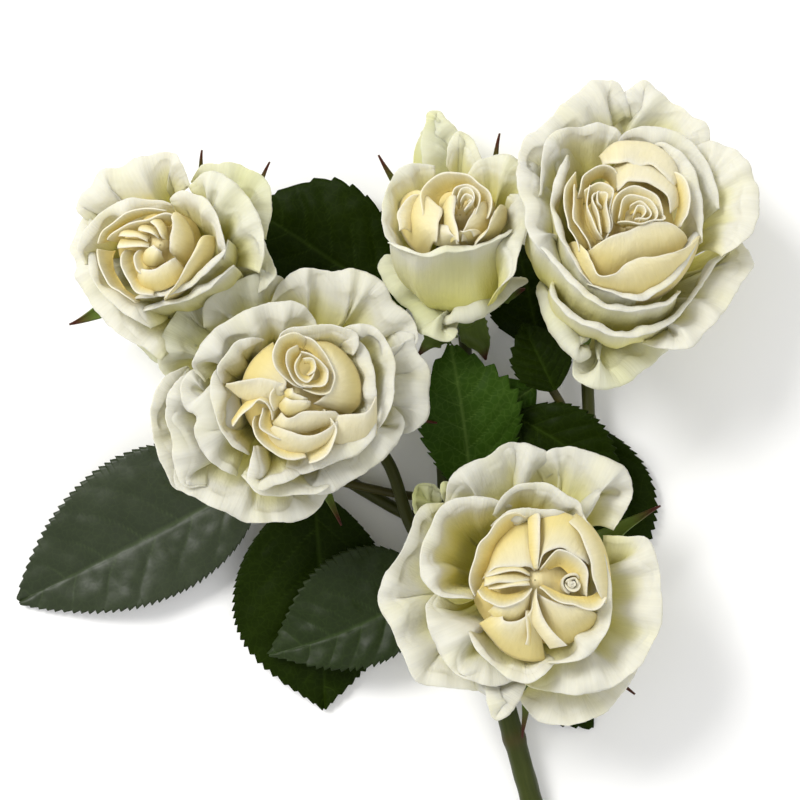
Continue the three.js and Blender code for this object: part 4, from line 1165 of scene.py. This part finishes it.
def leaflet(
    name, base, tip, sides, arch, bow, peak, blunt, teeth=None, bite=0.9, point=1.1, material=LEAF, seed=0
):
    """A toothed leaflet with a sunk midrib and a quilted face between its side veins."""
    base, tip = np.array(base, float), np.array(tip, float)
    length = np.linalg.norm(tip - base)
    rows, columns = 260, 41
    teeth = teeth or int(length / TOOTH_LENGTH)
    t = np.linspace(0, 1, rows)[:, None]
    u = np.linspace(-1, 1, columns)[None]
    run = unit(tip - base)
    up = unit(np.array([0.0, 0.0, 1.0]) - run * run[2])
    side = np.cross(up, run)
    swell = np.sin(np.pi * t**peak) ** (blunt + (point - blunt) * np.clip(2 * t - 1, 0, 1))
    half = np.where(u < 0, sides[1], sides[0]) * swell + 0.3
    span = np.abs(u)
    edge = np.clip((span - TOOTH_ZONE) / (1 - TOOTH_ZONE), 0, 1) ** 1.3
    phase = t * teeth + 0.25 * wander(t * 12, u * 0 + np.sign(u), seed, 0.9)
    saw = phase % 1.0
    size = 1 + 0.35 * wander(np.floor(phase), np.sign(u) * 3, seed + 2, 0.8)
    notch = np.where(saw < TOOTH_LEAN, saw / TOOTH_LEAN, (1 - saw) / (1 - TOOTH_LEAN))
    reach = u * half + np.sign(u) * edge * (notch - 0.6) * bite * size * np.clip(swell * 1.6, 0, 1)
    forward = t * length + edge * notch * bite * 0.7
    vein_place = t * VEIN_PAIRS - span**1.2 * half / length * VEIN_PAIRS * 0.85 + 0.15 * np.sign(u)
    vein_phase = np.abs(((vein_place + 0.12 * wander(t * 20, u * 10, seed + 4, 0.15)) % 1.0) - 0.5) * 2
    ridge = np.clip((vein_phase - 0.93) / 0.07, 0, 1) * np.clip(1.15 - span * 1.2, 0, 1)
    midrib = np.exp(-((u * half / MIDRIB_WIDTH) ** 2)) * (1 - 0.6 * t)
    quilt = (1 - vein_phase**2) * 0.42 * np.sin(np.pi * np.clip(span * 1.02, 0, 1)) ** 0.6
    wave = wander(u * half + 0 * t, t * length + 0 * u, seed + 20, 0.06) * 1.2 * span
    lift = arch * 4 * t * (1 - t) + 0.08 * span * half + quilt + wave - 0.35 * midrib
    lift = lift + 0.25 * wander(u * half + 0 * t, t * length + 0 * u, seed + 30, 0.25)
    sway = bow * np.sin(np.pi * t)
    grid = base + run * forward[..., None] + side * (reach + sway)[..., None] + up * lift[..., None]
    grid[..., 2] = np.maximum(grid[..., 2], 0.9)
    fields = {"across": u * half, "along": t * length, "veins": np.clip(midrib + 0.7 * ridge, 0, 1)}
    piece = grid_object(f"leaf_{name}", grid, material, fields)
    thicken(piece, LEAF_THICKNESS)
    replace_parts(piece, f"leaflet_{name}")


for seed, (name, shape) in enumerate(LEAFLETS.items()):
    leaflet(name, seed=seed, **shape)


# ---- Stage, lights and camera ----
FLOOR_HALF = 3.0  # metres
FLOOR_DROP = 0.0004
ROOM_LIGHT = 0.78


def floor():
    n = Nodes("pale_floor")
    material = n.finish(Base_Color=(0.97, 0.97, 0.97, 1), Roughness=0.9, Specular_IOR_Level=0.1)
    mesh = bpy.data.meshes.new("floor")
    corners = [(x * FLOOR_HALF, y * FLOOR_HALF, 0) for x, y in ((-1, -1), (1, -1), (1, 1), (-1, 1))]
    mesh.from_pydata(corners, [], [(0, 1, 2, 3)])
    piece = bpy.data.objects.new("floor", mesh)
    piece.location.z = -FLOOR_DROP
    mesh.materials.append(material)
    bpy.context.scene.collection.objects.link(piece)


def area_light(name, azimuth, elevation, distance, size, power, colour=(1, 1, 1)):
    """A square lamp that shines on the crown from the given side, in metres and watts."""
    data = bpy.data.lights.new(name, "AREA")
    data.energy = power
    data.size = size
    data.color = colour
    light = bpy.data.objects.new(name, data)
    a, e = math.radians(azimuth), math.radians(elevation)
    aim = Vector(CROWN.tolist())
    away = Vector((math.cos(e) * math.cos(a), math.cos(e) * math.sin(a), math.sin(e)))
    light.location = aim + distance * away
    light.rotation_euler = (light.location - aim).to_track_quat("Z", "Y").to_euler()
    bpy.context.scene.collection.objects.link(light)


def camera():
    data = bpy.data.cameras.new("camera")
    data.lens = CAMERA_LENS
    data.sensor_width = SENSOR
    view = bpy.data.objects.new("camera", data)
    view.location = (CROWN[0], CROWN[1], CROWN[2] + CAMERA_HEIGHT * MM)
    bpy.context.scene.collection.objects.link(view)
    bpy.context.scene.camera = view


def room():
    world = bpy.data.worlds.new("studio")
    world.use_nodes = True
    background = world.node_tree.nodes["Background"]
    background.inputs["Color"].default_value = (1.0, 1.0, 1.0, 1)
    background.inputs["Strength"].default_value = ROOM_LIGHT
    bpy.context.scene.world = world
    bpy.context.scene.view_settings.view_transform = "Standard"


floor()
area_light("key", azimuth=140, elevation=48, distance=3.0, size=1.1, power=70.0, colour=(1.0, 0.99, 0.965))
area_light("fill", azimuth=-40, elevation=55, distance=3.0, size=2.0, power=8.0)
room()
camera()

bpy.context.view_layer.update()
